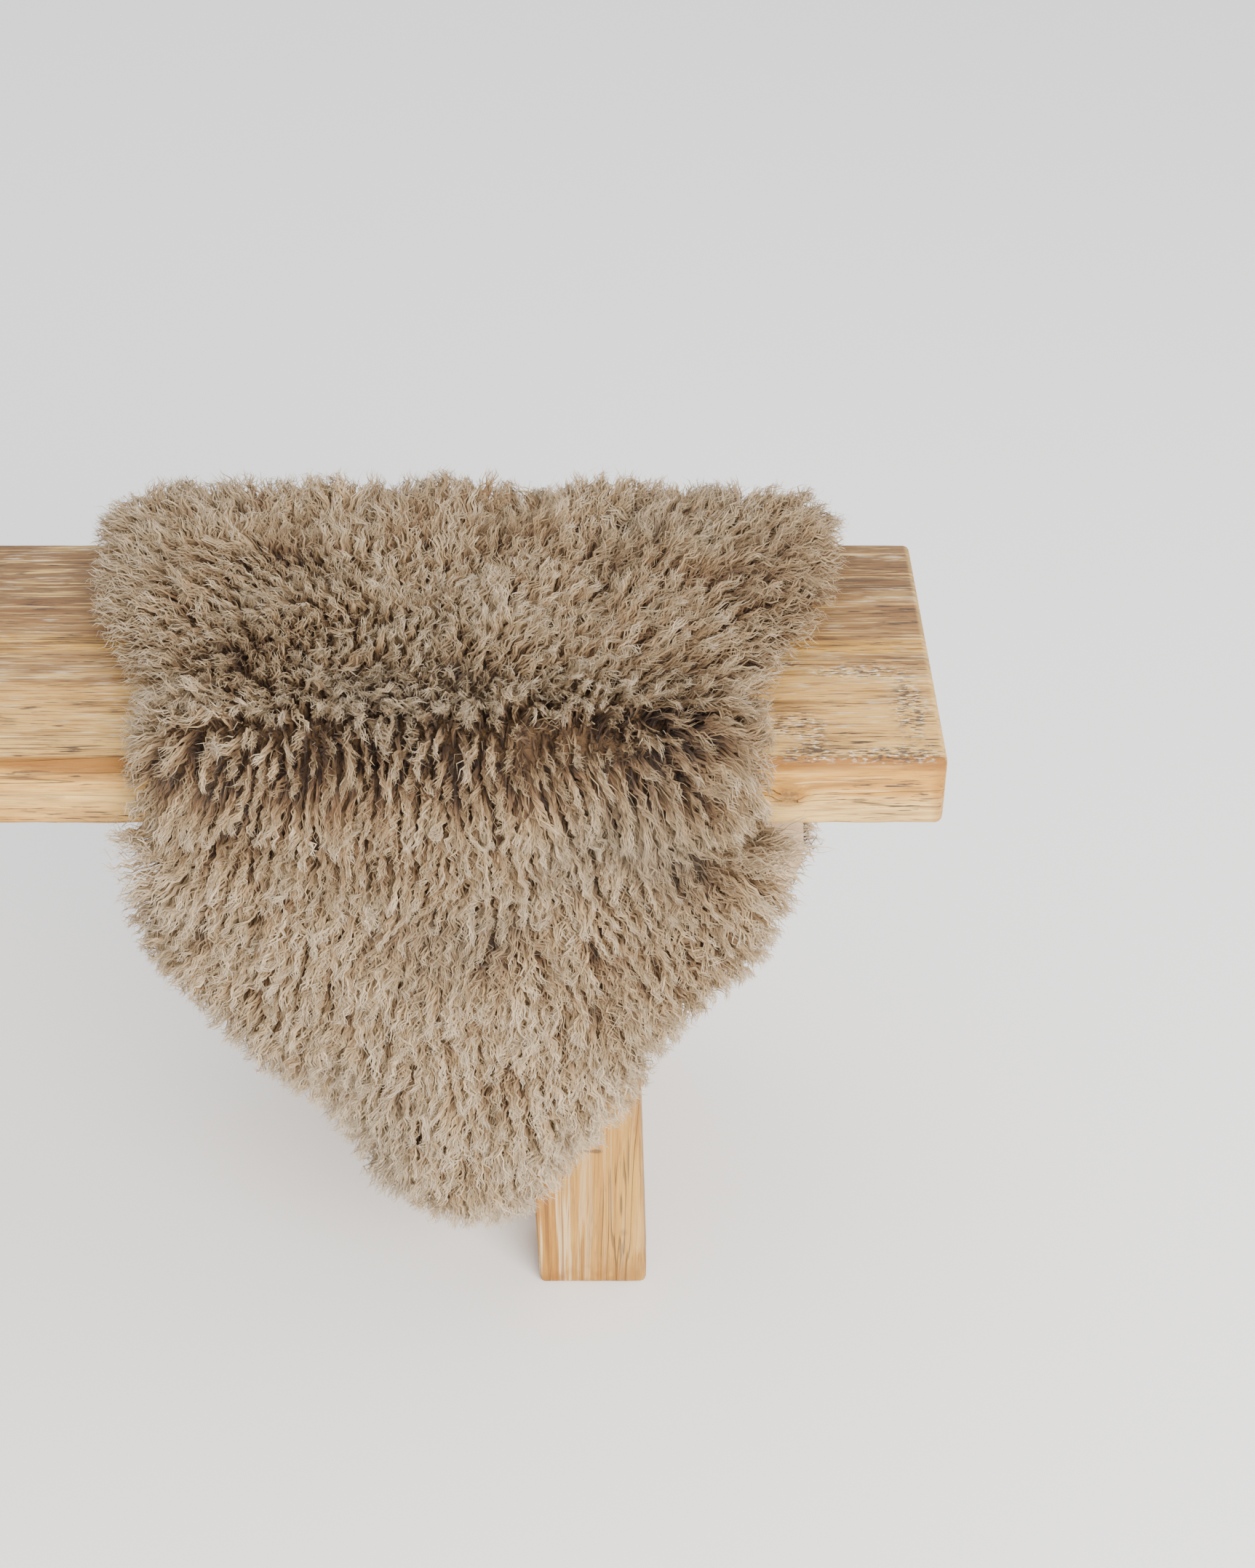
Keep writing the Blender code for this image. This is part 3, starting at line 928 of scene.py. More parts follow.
@dataclass(frozen=True)
class HideCut:
    """The flat outline of the hide and the height of its wool."""

    girths: tuple[Girth, ...] = (
        Girth(-0.420, 0.214, 0.208),
        Girth(-0.385, 0.232, 0.228),
        Girth(-0.330, 0.232, 0.236),
        Girth(-0.270, 0.236, 0.240),
        Girth(-0.200, 0.243, 0.244),
        Girth(-0.120, 0.232, 0.234),
        Girth(-0.060, 0.226, 0.226),
        Girth(0.000, 0.208, 0.211),
        Girth(0.050, 0.183, 0.187),
        Girth(0.095, 0.172, 0.174),
        Girth(0.135, 0.174, 0.174),
        Girth(0.160, 0.173, 0.172),
        Girth(0.185, 0.179, 0.177),
        Girth(0.215, 0.186, 0.184),
        Girth(0.242, 0.185, 0.185),
        Girth(0.270, 0.172, 0.178),
        Girth(0.292, 0.149, 0.161),
        Girth(0.315, 0.130, 0.142),
        Girth(0.340, 0.110, 0.120),
        Girth(0.365, 0.097, 0.092),
        Girth(0.388, 0.083, 0.074),
        Girth(0.410, 0.064, 0.061),
        Girth(0.438, 0.046, 0.052),
    )
    partings: tuple[Parting, ...] = (
        Parting(-0.210, 46.0, 0.20),
        Parting(-0.140, 52.0, 0.44),
        Parting(-0.070, 52.0, 0.46),
        Parting(-0.020, 58.0, 0.32),
        Parting(0.016, 54.0, 0.36),
        Parting(0.034, 44.0, 0.42),
        Parting(0.075, 34.0, 0.48),
        Parting(0.115, 24.0, 0.38),
        Parting(0.150, 8.0, 0.10),
    )
    neck_end: float = 0.466
    tail_end: float = -0.470
    tail_scallop: float = 0.016
    end_reach: float = 0.110
    pile: float = 0.045
    rim_pile: float = 0.015
    rim_rounding: float = 0.045
    wide_lump: float = 0.014
    small_lump: float = 0.006
    parting_width: float = 17.0
    back_press: float = 0.40
    back_turn: float = 40.0
    back_width: float = 42.0
    outline_rows: int = 110
    outline_columns: int = 40
    at_once: int = 2000

    def bow(self, share: Array, along: Array) -> Array:
        """How far a row is drawn back, so that the ends come out round.

        Args:
            share: shares of the row's half width, from -1 to 1.
            along: the rows.

        Returns:
            The distances along the hide.
        """
        neck = ease((along - self.neck_end + self.end_reach) / self.end_reach)
        tail = ease((self.tail_end + self.end_reach - along) / self.end_reach)
        neck_retreat = self.neck_end - self.girths[-1].along
        tail_retreat = self.girths[0].along - self.tail_end - self.tail_scallop
        scallop = 0.5 * self.tail_scallop * (1 - np.cos(3 * math.pi * share))
        front = -neck * neck_retreat * share**2
        return np.where(along > 0, front, tail * (tail_retreat * share**4 + scallop))

    def point(self, share: Array, along: Array) -> tuple[Array, Array]:
        """Flat points of the cut.

        Args:
            share: their shares of the half width, from -1 to 1.
            along: their rows.

        Returns:
            How far across and how far along they are.
        """
        share, along = np.broadcast_arrays(np.asarray(share, float), np.asarray(along, float))
        edge = along + self.bow(np.ones_like(share), along)
        rows = [g.along for g in self.girths]
        right = read_rows(rows, [g.right for g in self.girths], edge)
        left = read_rows(rows, [g.left for g in self.girths], edge)
        return share * np.where(share >= 0, right, left), along + self.bow(share, along)

    def outline(self) -> Array:
        """Walks round the cut.

        Returns:
            The closed flat outline, one row a point.
        """
        rows = np.linspace(self.tail_end, self.neck_end, self.outline_rows)
        shares = np.linspace(-1.0, 1.0, self.outline_columns)[1:-1]
        right = np.column_stack(self.point(np.ones(len(rows)), rows))
        left = np.column_stack(self.point(-np.ones(len(rows)), rows[::-1]))
        neck = np.column_stack(self.point(shares[::-1], np.full(len(shares), self.neck_end)))
        tail = np.column_stack(self.point(shares, np.full(len(shares), self.tail_end)))
        return np.concatenate([right, neck, left, tail])

    def area(self) -> float:
        """Measures the cut.

        Returns:
            Its flat area.
        """
        line = self.outline()
        after = np.roll(line, -1, axis=0)
        return abs(float(np.sum(line[:, 0] * after[:, 1] - after[:, 0] * line[:, 1]))) / 2

    def from_edge(self, flat: Array) -> tuple[Array, Array, Array]:
        """How flat points lie to the outline.

        Args:
            flat: points, one a row.

        Returns:
            Their distance to it, the way out to it, and whether they are inside.
        """
        start = self.outline()
        end = np.roll(start, -1, axis=0)
        distance, way = np.empty(len(flat)), np.empty((len(flat), 2))
        inside = np.zeros(len(flat), bool)
        for first in range(0, len(flat), self.at_once):
            some = slice(first, first + self.at_once)
            p = flat[some, None, :]
            run = end - start
            share = np.sum((p - start) * run, axis=2) / np.maximum(np.sum(run * run, axis=1), 1e-12)
            near = start + run * np.clip(share, 0.0, 1.0)[..., None]
            gap = near - p
            length = np.linalg.norm(gap, axis=2)
            best = np.argmin(length, axis=1)
            row = np.arange(len(best))
            distance[some] = length[row, best]
            way[some] = unit(gap[row, best])
            above = (start[:, 1] > p[..., 1]) != (end[:, 1] > p[..., 1])
            rise = np.where(np.abs(run[:, 1]) < 1e-12, 1e-12, run[:, 1])
            cross = start[:, 0] + run[:, 0] * (p[..., 1] - start[:, 1]) / rise
            inside[some] = np.sum(above & (p[..., 0] < cross), axis=1) % 2 == 1
        way[~inside] *= -1.0
        return distance, way, inside

    def crease(self, drape: Drape, flat: Array) -> tuple[Array, Array]:
        """Where the wool parts over the front bend.

        Args:
            drape: how the hide lies.
            flat: points, one a row.

        Returns:
            How far along the hide the parting is at each point, and its depth there.
        """
        places = [p.across for p in self.partings]
        turn = read_rows(places, [p.turn for p in self.partings], flat[:, 0])
        depth = read_rows(places, [p.depth for p in self.partings], flat[:, 0])
        return drape.top_half + drape.bend_radius * np.radians(turn), depth

    def pile_height(self, drape: Drape, flat: Array, distance: Array) -> Array:
        """Height of the wool over the flesh side.

        Args:
            drape: how the hide lies.
            flat: points, one a row.
            distance: their distances from the cut edge.

        Returns:
            The heights.
        """
        across, along = flat[:, 0], flat[:, 1]
        stretched = np.column_stack([across, 0.4 * along])
        full = self.pile + self.wide_lump * lumps(flat, 0.048)
        full = full + self.small_lump * lumps(stretched, 0.026, 7.0)
        turn = np.degrees((np.abs(along) - drape.top_half) / drape.bend_radius)
        crease, depth = self.crease(drape, flat)
        away = np.degrees((along - crease) / drape.bend_radius)
        front = 1.0 - depth * hump(away, self.parting_width)
        back = 1.0 - self.back_press * hump(turn - self.back_turn, self.back_width)
        full = full * np.where(along < 0, back, front)
        inward = np.minimum(distance / self.rim_rounding, 1.0)
        return self.rim_pile + (full - self.rim_pile) * np.sqrt(1.0 - (1.0 - inward) ** 2)


def put(name: str, data: bpy.types.ID) -> bpy.types.Object:
    """A new object in the scene.

    Args:
        name: its name.
        data: its mesh, light or camera.

    Returns:
        The object.
    """
    made = bpy.data.objects.new(name, data)
    bpy.context.scene.collection.objects.link(made)
    return made


def mesh_piece(
    name: str, points: Array, faces: Array, finish: bpy.types.Material, sharp: float | None = None
) -> bpy.types.Object:
    """A new piece of the rug or the bench.

    Args:
        name: the piece's name.
        points: its vertices.
        faces: its faces, all with the same number of corners.
        finish: its material.
        sharp: degrees over which an edge stays sharp, or None for smooth all over.

    Returns:
        The object, which rides on the root body.
    """
    mesh = bpy.data.meshes.new(name)
    mesh.vertices.add(len(points))
    mesh.vertices.foreach_set("co", np.ascontiguousarray(points, np.float32).ravel())
    mesh.loops.add(faces.size)
    mesh.loops.foreach_set("vertex_index", np.ascontiguousarray(faces, np.int32).ravel())
    mesh.polygons.add(len(faces))
    mesh.polygons.foreach_set("loop_start", np.arange(0, faces.size, faces.shape[1], dtype=np.int32))
    mesh.update(calc_edges=True)
    mesh.materials.append(finish)
    mesh.shade_smooth()
    if sharp is not None:
        mesh.set_sharp_from_angle(angle=math.radians(sharp))
    piece = put(name, mesh)
    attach(piece, "root")
    return piece


def sheet_faces(rows: int, columns: int) -> Array:
    """Quads of a grid of rows and columns of points, counted row by row."""
    start = (np.arange(rows - 1)[:, None] * columns + np.arange(columns - 1)).ravel()
    return np.column_stack([start, start + 1, start + columns + 1, start + columns])


@dataclass
class Hide:
    """The tanned skin itself: a thin sheet with soft creases."""

    cut: HideCut
    drape: Drape
    low: float = 0.0003
    thickness: float = 0.0017
    crease: float = 0.0011
    rows: int = 104
    columns: int = 40

    def build(self, finish: bpy.types.Material) -> bpy.types.Object:
        """Drapes the sheet over the bench.

        Args:
            finish: its suede.

        Returns:
            The closed sheet.
        """
        spacing = np.linspace(-1.0, 1.0, self.rows)
        middle = (self.cut.neck_end + self.cut.tail_end) / 2
        half = (self.cut.neck_end - self.cut.tail_end) / 2
        places = middle + half * (0.75 * spacing + 0.25 * np.sin(0.5 * math.pi * spacing))
        shares = np.linspace(-1.0, 1.0, self.columns)
        shares = 0.7 * shares + 0.3 * np.sin(0.5 * math.pi * shares)
        across, along = self.cut.point(shares[None, :], places[:, None])
        flat = np.stack([across, along], axis=-1)
        fold = 0.5 + 0.5 * lumps(flat * np.array([1.0, 0.35]), 0.030, 3.0)
        fold = fold + 0.4 * lumps(flat, 0.012, 5.0)
        hanging = ease((np.abs(along) - self.drape.hang_start) / 0.05)
        under = self.low + self.crease * np.clip(fold, 0.0, 1.3) * hanging
        under_points = self.drape.lift(across, along, under).reshape(-1, 3)
        over_points = self.drape.lift(across, along, under + self.thickness).reshape(-1, 3)
        grid = sheet_faces(self.rows, self.columns)
        count = self.rows * self.columns
        rim = np.concatenate(
            [
                np.arange(self.columns),
                np.arange(1, self.rows) * self.columns + self.columns - 1,
                (self.rows - 1) * self.columns + np.arange(self.columns - 2, -1, -1),
                np.arange(self.rows - 2, 0, -1) * self.columns,
            ]
        )
        after = np.roll(rim, -1)
        wall = np.column_stack([after, rim, rim + count, after + count])
        faces = np.concatenate([grid, grid[:, ::-1] + count, wall])
        piece = mesh_piece("hide", np.concatenate([under_points, over_points]), faces, finish, 50.0)
        return piece


@dataclass
class Underwool:
    """The felted lower part of the wool, which closes the view between the locks."""

    cut: HideCut
    drape: Drape
    share: float = 0.52
    inset: float = 0.985
    margin: float = 0.004
    rim_height: float = 0.0030
    least_height: float = 0.0032
    crease_shade_reach: float = 0.0024
    rows: int = 190
    columns: int = 88

    def build(self, finish: bpy.types.Material) -> bpy.types.Object:
        """Covers the hide with one uneven skin that comes down to the leather at its rim.

        Args:
            finish: its felt.

        Returns:
            The underwool, with how near the crease each point is as its crease attribute, which its finish
            paints as shade.
        """
        spacing = np.linspace(0.0, 1.0, self.rows)
        length = self.cut.neck_end - self.cut.tail_end - 2 * self.margin
        places = self.cut.tail_end + self.margin + length * spacing
        shares = np.linspace(-self.inset, self.inset, self.columns)
        across, along = self.cut.point(shares[None, :], places[:, None])
        flat = np.column_stack([across.ravel(), along.ravel()])
        distance = self.cut.from_edge(flat)[0]
        height = self.share * self.cut.pile_height(self.drape, flat, distance)
        rough = 0.0035 * lumps(flat, 0.0075, 1.0) + 0.0030 * lumps(flat, 0.017, 2.0)
        height = np.maximum(height + rough, self.least_height)
        edge = np.zeros((self.rows, self.columns), bool)
        edge[[0, -1], :] = True
        edge[:, [0, -1]] = True
        height = np.where(edge.ravel(), self.rim_height, height)
        points = self.drape.lift(flat[:, 0], flat[:, 1], height)
        faces = sheet_faces(self.rows, self.columns)[:, ::-1]
        piece = mesh_piece("underwool", points, faces, finish)
        # painted shade: the crease attribute darkens the underwool along the crease
        away = flat[:, 1] - self.cut.crease(self.drape, flat)[0]
        shade = piece.data.attributes.new("crease", "FLOAT", "POINT")
        shade.data.foreach_set("value", hump(away, self.crease_shade_reach).astype(np.float32))
        return piece


@dataclass(frozen=True)
class Box:
    """A solid that wool can't enter."""

    low: Array
    high: Array

    def push_out(self, points: Array, margin: float) -> Array:
        """Moves points out of the box by the shortest way up, forward or back.

        Args:
            points: the points.
            margin: how far from the box they stay.

        Returns:
            The points, of which those outside are as they were.
        """
        low, high = self.low - margin, self.high + margin
        inside = np.all((points > low) & (points < high), axis=-1)
        if not inside.any():
            return points
        caught = points[inside]
        gaps = np.column_stack([high[2] - caught[:, 2], caught[:, 1] - low[1], high[1] - caught[:, 1]])
        least = np.argmin(gaps, axis=1)
        caught[least == 0, 2] = high[2]
        caught[least == 1, 1] = low[1]
        caught[least == 2, 1] = high[1]
        points = points.copy()
        points[inside] = caught
        return points


class Strand(Enum):
    """What a strand of wool is."""

    LOCK = "lock"
    STRAY = "stray"


@dataclass
class Locks:
    """The locks that strands gather in, and the random numbers that a lock's strands share."""

    roots: Array
    nearest: Array
    shared: np.random.Generator

    def even(self, low: float, high: float) -> Array:
        """A number between two limits for each lock, given to all its strands."""
        return self.shared.uniform(low, high, len(self.roots))[self.nearest]

    def normal(self, spread: float) -> Array:
        """A number about 0 for each lock, given to all its strands."""
        return self.shared.normal(0, spread, len(self.roots))[self.nearest]


@dataclass(frozen=True)
class Shading:
    """By how much strands are paler or darker than the middle tone, and where; some of it is painted light
    and shade.
    """

    lock_spread: float = 0.17
    strand_spread: float = 0.09
    wide_cloud: float = 0.14
    small_cloud: float = 0.20
    # painted highlights: a share of strands made paler, as glints along single strands
    bright: float = 0.24
    painted_highlight_share: float = 0.13
    painted_highlight_share_at_crease: float = 0.10
    # painted light: rim strands paler, as light through the thin wool at the outline, more where the hide
    # hangs
    rim: float = 0.12
    hanging_rim_glow: float = 0.18
    tongue: float = 0.18
    tongue_from: float = 0.24
    tongue_fade: float = 0.14
    # painted shade: strands darker along the crease, less so to the right
    crease: float = 0.55
    crease_shade_shallow: float = 0.25
    crease_shade_reach: float = 0.0024
    # painted shadow: strands darker just below the crease, where the locks above overhang
    below: float = 0.25
    shade_below_shallow: float = 0.4
    shade_below_at: float = 0.022
    shade_below_reach: float = 0.022
    above: float = 0.10
    above_at: float = -0.020
    above_reach: float = 0.016
    shallow_from: float = 0.03
    shallow_fade: float = 0.05


@dataclass
class Wool:
    """Wavy locks rooted all over the hide, leaning and gathering as the photographed ones do.

    Pitches, lengths, reaches and places are in metres, tilts in degrees, and the other numbers are shares.
    Roots stand on a lattice of rows, and closer over the seat's two bends. The lobes are the hide's corners
    that spread sideways just under the seat. Spots and sweeps were set against the photograph.
    """

    cut: HideCut
    drape: Drape
    solids: Sequence[Box]
    pitch: float = 0.00242
    tail_pitch: float = 0.00355
    lock_pitch: float = 0.0083
    lattice_across: float = 0.26
    lattice_along: float = 0.52
    ruler_marks: int = 2081
    row_step: float = 0.866
    jitter: float = 0.38
    bare_rim: float = 0.0012
    tail_from: float = -0.14
    front_bend: float = 0.1265
    back_bend: float = -0.1264
    bend_reach: float = 0.0085
    front_crowd: float = 5.4
    back_crowd: float = 2.4
    half_width: float = 0.00062
    stray_width: float = 0.45
    root_share: float = 0.48
    stray_root_share: float = 0.55
    shortest: float = 0.018
    longest: float = 0.037
    rim_length: float = 0.029
    crease_length: float = 0.008
    overhang_length: float = 0.001
    gather: float = 0.84
    crease_gather: float = 0.89
    stray_gather: float = 0.2
    seat_loosening: float = 0.17
    seat_edge: float = 0.105
    seat_fade: float = 0.018
    rim_loosening: float = 0.5
    crest_loosening: float = 0.4
    crest: float = -0.127
    crest_reach: float = 0.014
    tail_loosening: float = 0.16
    tail_edge: float = -0.135
    tail_fade: float = 0.02
    crimp: float = 0.0021
    crimp_length: float = 0.0100
    hook: float = 0.62
    gravity: float = 0.55
    arch: float = 0.75
    swirl: float = 0.55
    most_tilt: float = 70.0
    rim_tilt: float = 72.0
    edge_reach: float = 0.018
    lobe_edge_reach: float = 0.016
    lobe_along: float = 0.177
    lobe_reach: float = 0.024
    lobe_from: float = 0.135
    lobe_fade: float = 0.03
    lobe_top: float = 0.181
    lobe_top_reach: float = 0.010
    lobe_right: float = 0.038
    lobe_left: float = 0.022
    solid_gap: float = 0.0016
    floor_gap: float = 0.003
    hanging_from: float = 0.135
    hanging_fade: float = 0.02
    shading: Shading = Shading()
    seed: int = 11
    spots: tuple[Spot, ...] = (
        Spot(-0.105, -0.050, 0.024, -0.34),
        Spot(0.024, -0.060, 0.024, -0.32),
        Spot(-0.125, 0.056, 0.022, -0.36),
        Spot(0.011, 0.086, 0.016, -0.22),
        Spot(0.184, -0.007, 0.036, -0.30),
        Spot(0.210, -0.050, 0.034, -0.24),
        Spot(0.150, 0.080, 0.040, -0.24),
        Spot(0.120, -0.010, 0.080, -0.24),
        Spot(0.120, 0.210, 0.070, -0.12),
        Spot(-0.040, 0.106, 0.030, -0.16),
        Spot(0.053, -0.101, 0.026, 0.16),
        Spot(-0.058, 0.043, 0.022, 0.20),
        Spot(0.017, 0.016, 0.026, 0.22),
        Spot(0.100, 0.034, 0.024, 0.14),
        Spot(0.146, -0.060, 0.020, 0.14),
        Spot(-0.108, 0.145, 0.018, -0.24),
        Spot(-0.033, 0.156, 0.014, -0.20),
        Spot(0.142, 0.174, 0.034, -0.28),
        Spot(-0.009, 0.228, 0.018, -0.14),
        Spot(0.086, 0.259, 0.020, -0.16),
        Spot(-0.060, 0.359, 0.035, 0.12),
        Spot(-0.076, 0.235, 0.026, 0.12),
    )
    sweeps: tuple[Sweep, ...] = (
        Sweep(-0.18, -0.09, -0.7, -0.5, 50),
        Sweep(-0.10, -0.09, -0.2, -0.9, 44),
        Sweep(0.00, -0.10, 0.1, -1.0, 44),
        Sweep(0.10, -0.10, 0.4, -0.9, 48),
        Sweep(0.19, -0.09, 0.9, -0.6, 54),
        Sweep(-0.17, 0.00, -0.8, 0.3, 42),
        Sweep(-0.10, 0.00, -0.3, 0.2, 26),
        Sweep(-0.02, 0.00, 0.1, -0.2, 20),
        Sweep(0.06, 0.00, 0.5, -0.5, 40),
        Sweep(0.13, 0.00, 0.6, -0.6, 50),
        Sweep(0.19, 0.00, 1.0, -0.1, 60),
        Sweep(-0.15, 0.07, -0.7, 0.7, 40),
        Sweep(-0.08, 0.06, 0.3, 0.3, 28),
        Sweep(-0.012, 0.041, 0.1, 0.1, 6),
        Sweep(0.05, 0.06, 0.5, -0.4, 34),
        Sweep(0.11, 0.07, 0.6, -0.4, 46),
        Sweep(0.16, 0.07, 1.0, 0.1, 54),
        Sweep(-0.14, 0.118, -0.3, 1.0, 40),
        Sweep(-0.06, 0.118, 0.3, 1.0, 38),
        Sweep(0.02, 0.118, -0.2, 1.0, 40),
        Sweep(0.09, 0.116, 0.6, 0.8, 44),
        Sweep(0.15, 0.118, 0.9, 0.5, 48),
        Sweep(-0.14, 0.130, -0.8, 0.5, 40),
        Sweep(-0.07, 0.130, -0.5, 0.9, 34),
        Sweep(0.00, 0.130, 0.3, 1.0, 32),
        Sweep(0.07, 0.130, 0.8, 0.6, 40),
        Sweep(0.14, 0.130, 1.0, 0.2, 50),
        Sweep(-0.14, 0.150, -0.8, 0.7, 44),
        Sweep(-0.07, 0.150, -0.4, 1.0, 36),
        Sweep(0.00, 0.150, 0.3, 1.0, 34),
        Sweep(0.07, 0.150, 0.8, 0.8, 42),
        Sweep(0.14, 0.150, 0.9, 0.5, 52),
        Sweep(-0.14, 0.18, -0.6, 0.9, 52),
        Sweep(-0.07, 0.18, -0.2, 1.0, 42),
        Sweep(0.00, 0.18, 0.0, 1.0, 42),
        Sweep(0.07, 0.18, 0.5, 0.8, 46),
        Sweep(0.14, 0.18, 0.8, 0.6, 56),
        Sweep(-0.16, 0.24, -0.9, 0.5, 62),
        Sweep(-0.09, 0.24, -0.4, 1.0, 60),
        Sweep(0.00, 0.24, 0.05, 1.0, 60),
        Sweep(0.08, 0.24, 0.6, 0.8, 60),
        Sweep(0.16, 0.24, 0.9, 0.6, 62),
        Sweep(-0.08, 0.33, -0.3, 1.0, 62),
        Sweep(0.00, 0.33, 0.0, 1.0, 62),
        Sweep(0.08, 0.33, 0.4, 1.0, 62),
        Sweep(0.00, 0.43, 0.0, 1.0, 64),
        Sweep(-0.15, -0.127, -0.3, -1.0, 62),
        Sweep(0.00, -0.127, 0.0, -1.0, 62),
        Sweep(0.15, -0.127, 0.3, -1.0, 62),
        Sweep(-0.15, -0.16, -0.3, -1.0, 66),
        Sweep(0.00, -0.16, 0.0, -1.0, 66),
        Sweep(0.15, -0.16, 0.3, -1.0, 66),
        Sweep(-0.18, -0.28, -0.5, -1.0, 62),
        Sweep(0.00, -0.28, 0.05, -1.0, 60),
        Sweep(0.18, -0.28, 0.5, -1.0, 62),
        Sweep(-0.17, -0.42, -0.4, -1.0, 62),
        Sweep(0.00, -0.42, 0.0, -1.0, 62),
        Sweep(0.17, -0.42, 0.4, -1.0, 62),
    )
    sweep_across: float = 0.034
    sweep_along: float = 0.020

    def roots(
        self, pitch: float, tail_pitch: float, rng: np.random.Generator, crowding: float = 1.0
    ) -> Array:
        """Flat places of the roots on a jittered lattice, closer over the bends.

        Args:
            pitch: their spacing in front and on the seat.
            tail_pitch: their spacing behind.
            rng: the source of the jitter.
            crowding: how much closer they stand over the bends, where the wool fans out.

        Returns:
            The places inside the cut, one a row.
        """
        ruler = np.linspace(-self.lattice_along, self.lattice_along, self.ruler_marks)
        density = np.where(ruler < self.tail_from, pitch / tail_pitch, 1.0)
        front = hump(ruler - self.front_bend, self.bend_reach)
        back = hump(ruler - self.back_bend, self.bend_reach)
        density = density + crowding * (self.front_crowd * front + self.back_crowd * back)
        walked = np.concatenate([[0.0], np.cumsum((density[1:] + density[:-1]) / 2 * np.diff(ruler))])
        found = []
        for k, row in enumerate(np.arange(0.0, walked[-1], self.row_step * pitch)):
            along = float(np.interp(row, walked, ruler))
            step = tail_pitch if along < self.tail_from else pitch
            across = np.arange(-self.lattice_across, self.lattice_across, step)
            across = across + (0.5 * step if k % 2 else 0.0)
            spread = rng.uniform(-self.jitter, self.jitter, (len(across), 2)) * step
            gain = float(np.interp(along, ruler, density))
            found.append(np.column_stack([across + spread[:, 0], along + spread[:, 1] / gain]))
        flat = np.concatenate(found)
        distance, _, inside = self.cut.from_edge(flat)
        return flat[inside & (distance > self.bare_rim)]

    def lean(self, flat: Array, distance: Array, way: Array) -> tuple[Array, Array]:
        """Which way and how far strands lean.

        Args:
            flat: their roots.
            distance: each root's distance from the cut edge.
            way: the way out to the edge.

        Returns:
            Flat lean directions, and tilts from straight up in radians.
        """
        places = np.array([[s.across, s.along] for s in self.sweeps])
        ways = unit(np.array([[s.toward_across, s.toward_along] for s in self.sweeps]))
        tilts = np.array([s.tilt for s in self.sweeps])
        gap = (flat[:, None, :] - places) / np.array([self.sweep_across, self.sweep_along])
        weight = np.exp(-0.5 * np.sum(gap**2, axis=2)) + 1e-9
        beyond = self.past_crease(flat) > 0.0
        same_side = beyond[:, None] == (places[None, :, 1] > self.drape.top_half)
        weight = weight * np.where(same_side, 1.0, 0.02)
        weight /= weight.sum(axis=1, keepdims=True)
        toward = weight @ (ways * np.sin(np.radians(tilts))[:, None])
        tilt = np.degrees(np.arcsin(np.clip(np.linalg.norm(toward, axis=1), 0.0, 0.97)))
        toward = turned(unit(toward), self.swirl * 1.7 * lumps(flat, 0.030, 11.0))
        tilt = np.clip(tilt + 20.0 * lumps(flat, 0.024, 13.0), 0.0, self.most_tilt)
        edge = self.near_rim(flat, distance)
        toward = unit(toward) * (1 - 0.75 * edge)[:, None] + way * (1.1 * edge)[:, None]
        tilt = tilt * (1 - edge) + self.rim_tilt * edge
        high = hump(flat[:, 1] - self.lobe_top, self.lobe_top_reach)
        lift = np.column_stack([np.zeros(len(flat)), -(0.30 + 0.70 * high) * self.near_lobe(flat)])
        return unit(toward + lift), np.radians(tilt)

    def paths(
        self,
        flat: Array,
        heights: Array,
        toward: Array,
        tilt: Array,
        length: Array,
        rings: int,
        hooks: Array,
    ) -> Array:
        """Centre lines of strands before they gather and wave.

        Args:
            flat: roots.
            heights: height of the roots over the flesh side.
            toward: flat lean directions.
            tilt: tilts in radians.
            length: lengths.
            rings: points on each line.
            hooks: how much each tip turns sideways and out.

        Returns:
            Points, as strands by rings by 3.
        """
        east, south, out = self.drape.frames(flat[:, 0], flat[:, 1])
        lean = unit(east * toward[:, :1] + south * toward[:, 1:])
        point = self.drape.lift(flat[:, 0], flat[:, 1], heights)
        line = [point]
        down = np.array([0.0, 0.0, -1.0])
        hanging = ease((flat[:, 1] - self.drape.top_half) / 0.010)
        over_fold = hanging * (1 - ease((flat[:, 1] - self.drape.hang_start - 0.01) / 0.05))
        pull = (self.gravity + self.arch * over_fold) * (1 - 0.85 * self.near_lobe(flat))
        beside = np.cross(lean, out)
        for k in range(1, rings):
            f = (k - 0.5) / (rings - 1)
            bend = tilt * (0.50 + 0.75 * f)
            heading = out * np.cos(bend)[:, None] + lean * np.sin(bend)[:, None]
            curl = float(ease(np.array((f - 0.45) / 0.5)))
            heading = heading + down * (pull * f * (1.4 - 0.4 * f))[:, None]
            heading = unit(heading + (beside * hooks[:, :1] + out * (0.35 + hooks[:, 1:])) * curl)
            point = point + heading * (length / (rings - 1))[:, None]
            line.append(point)
        return np.stack(line, axis=1)

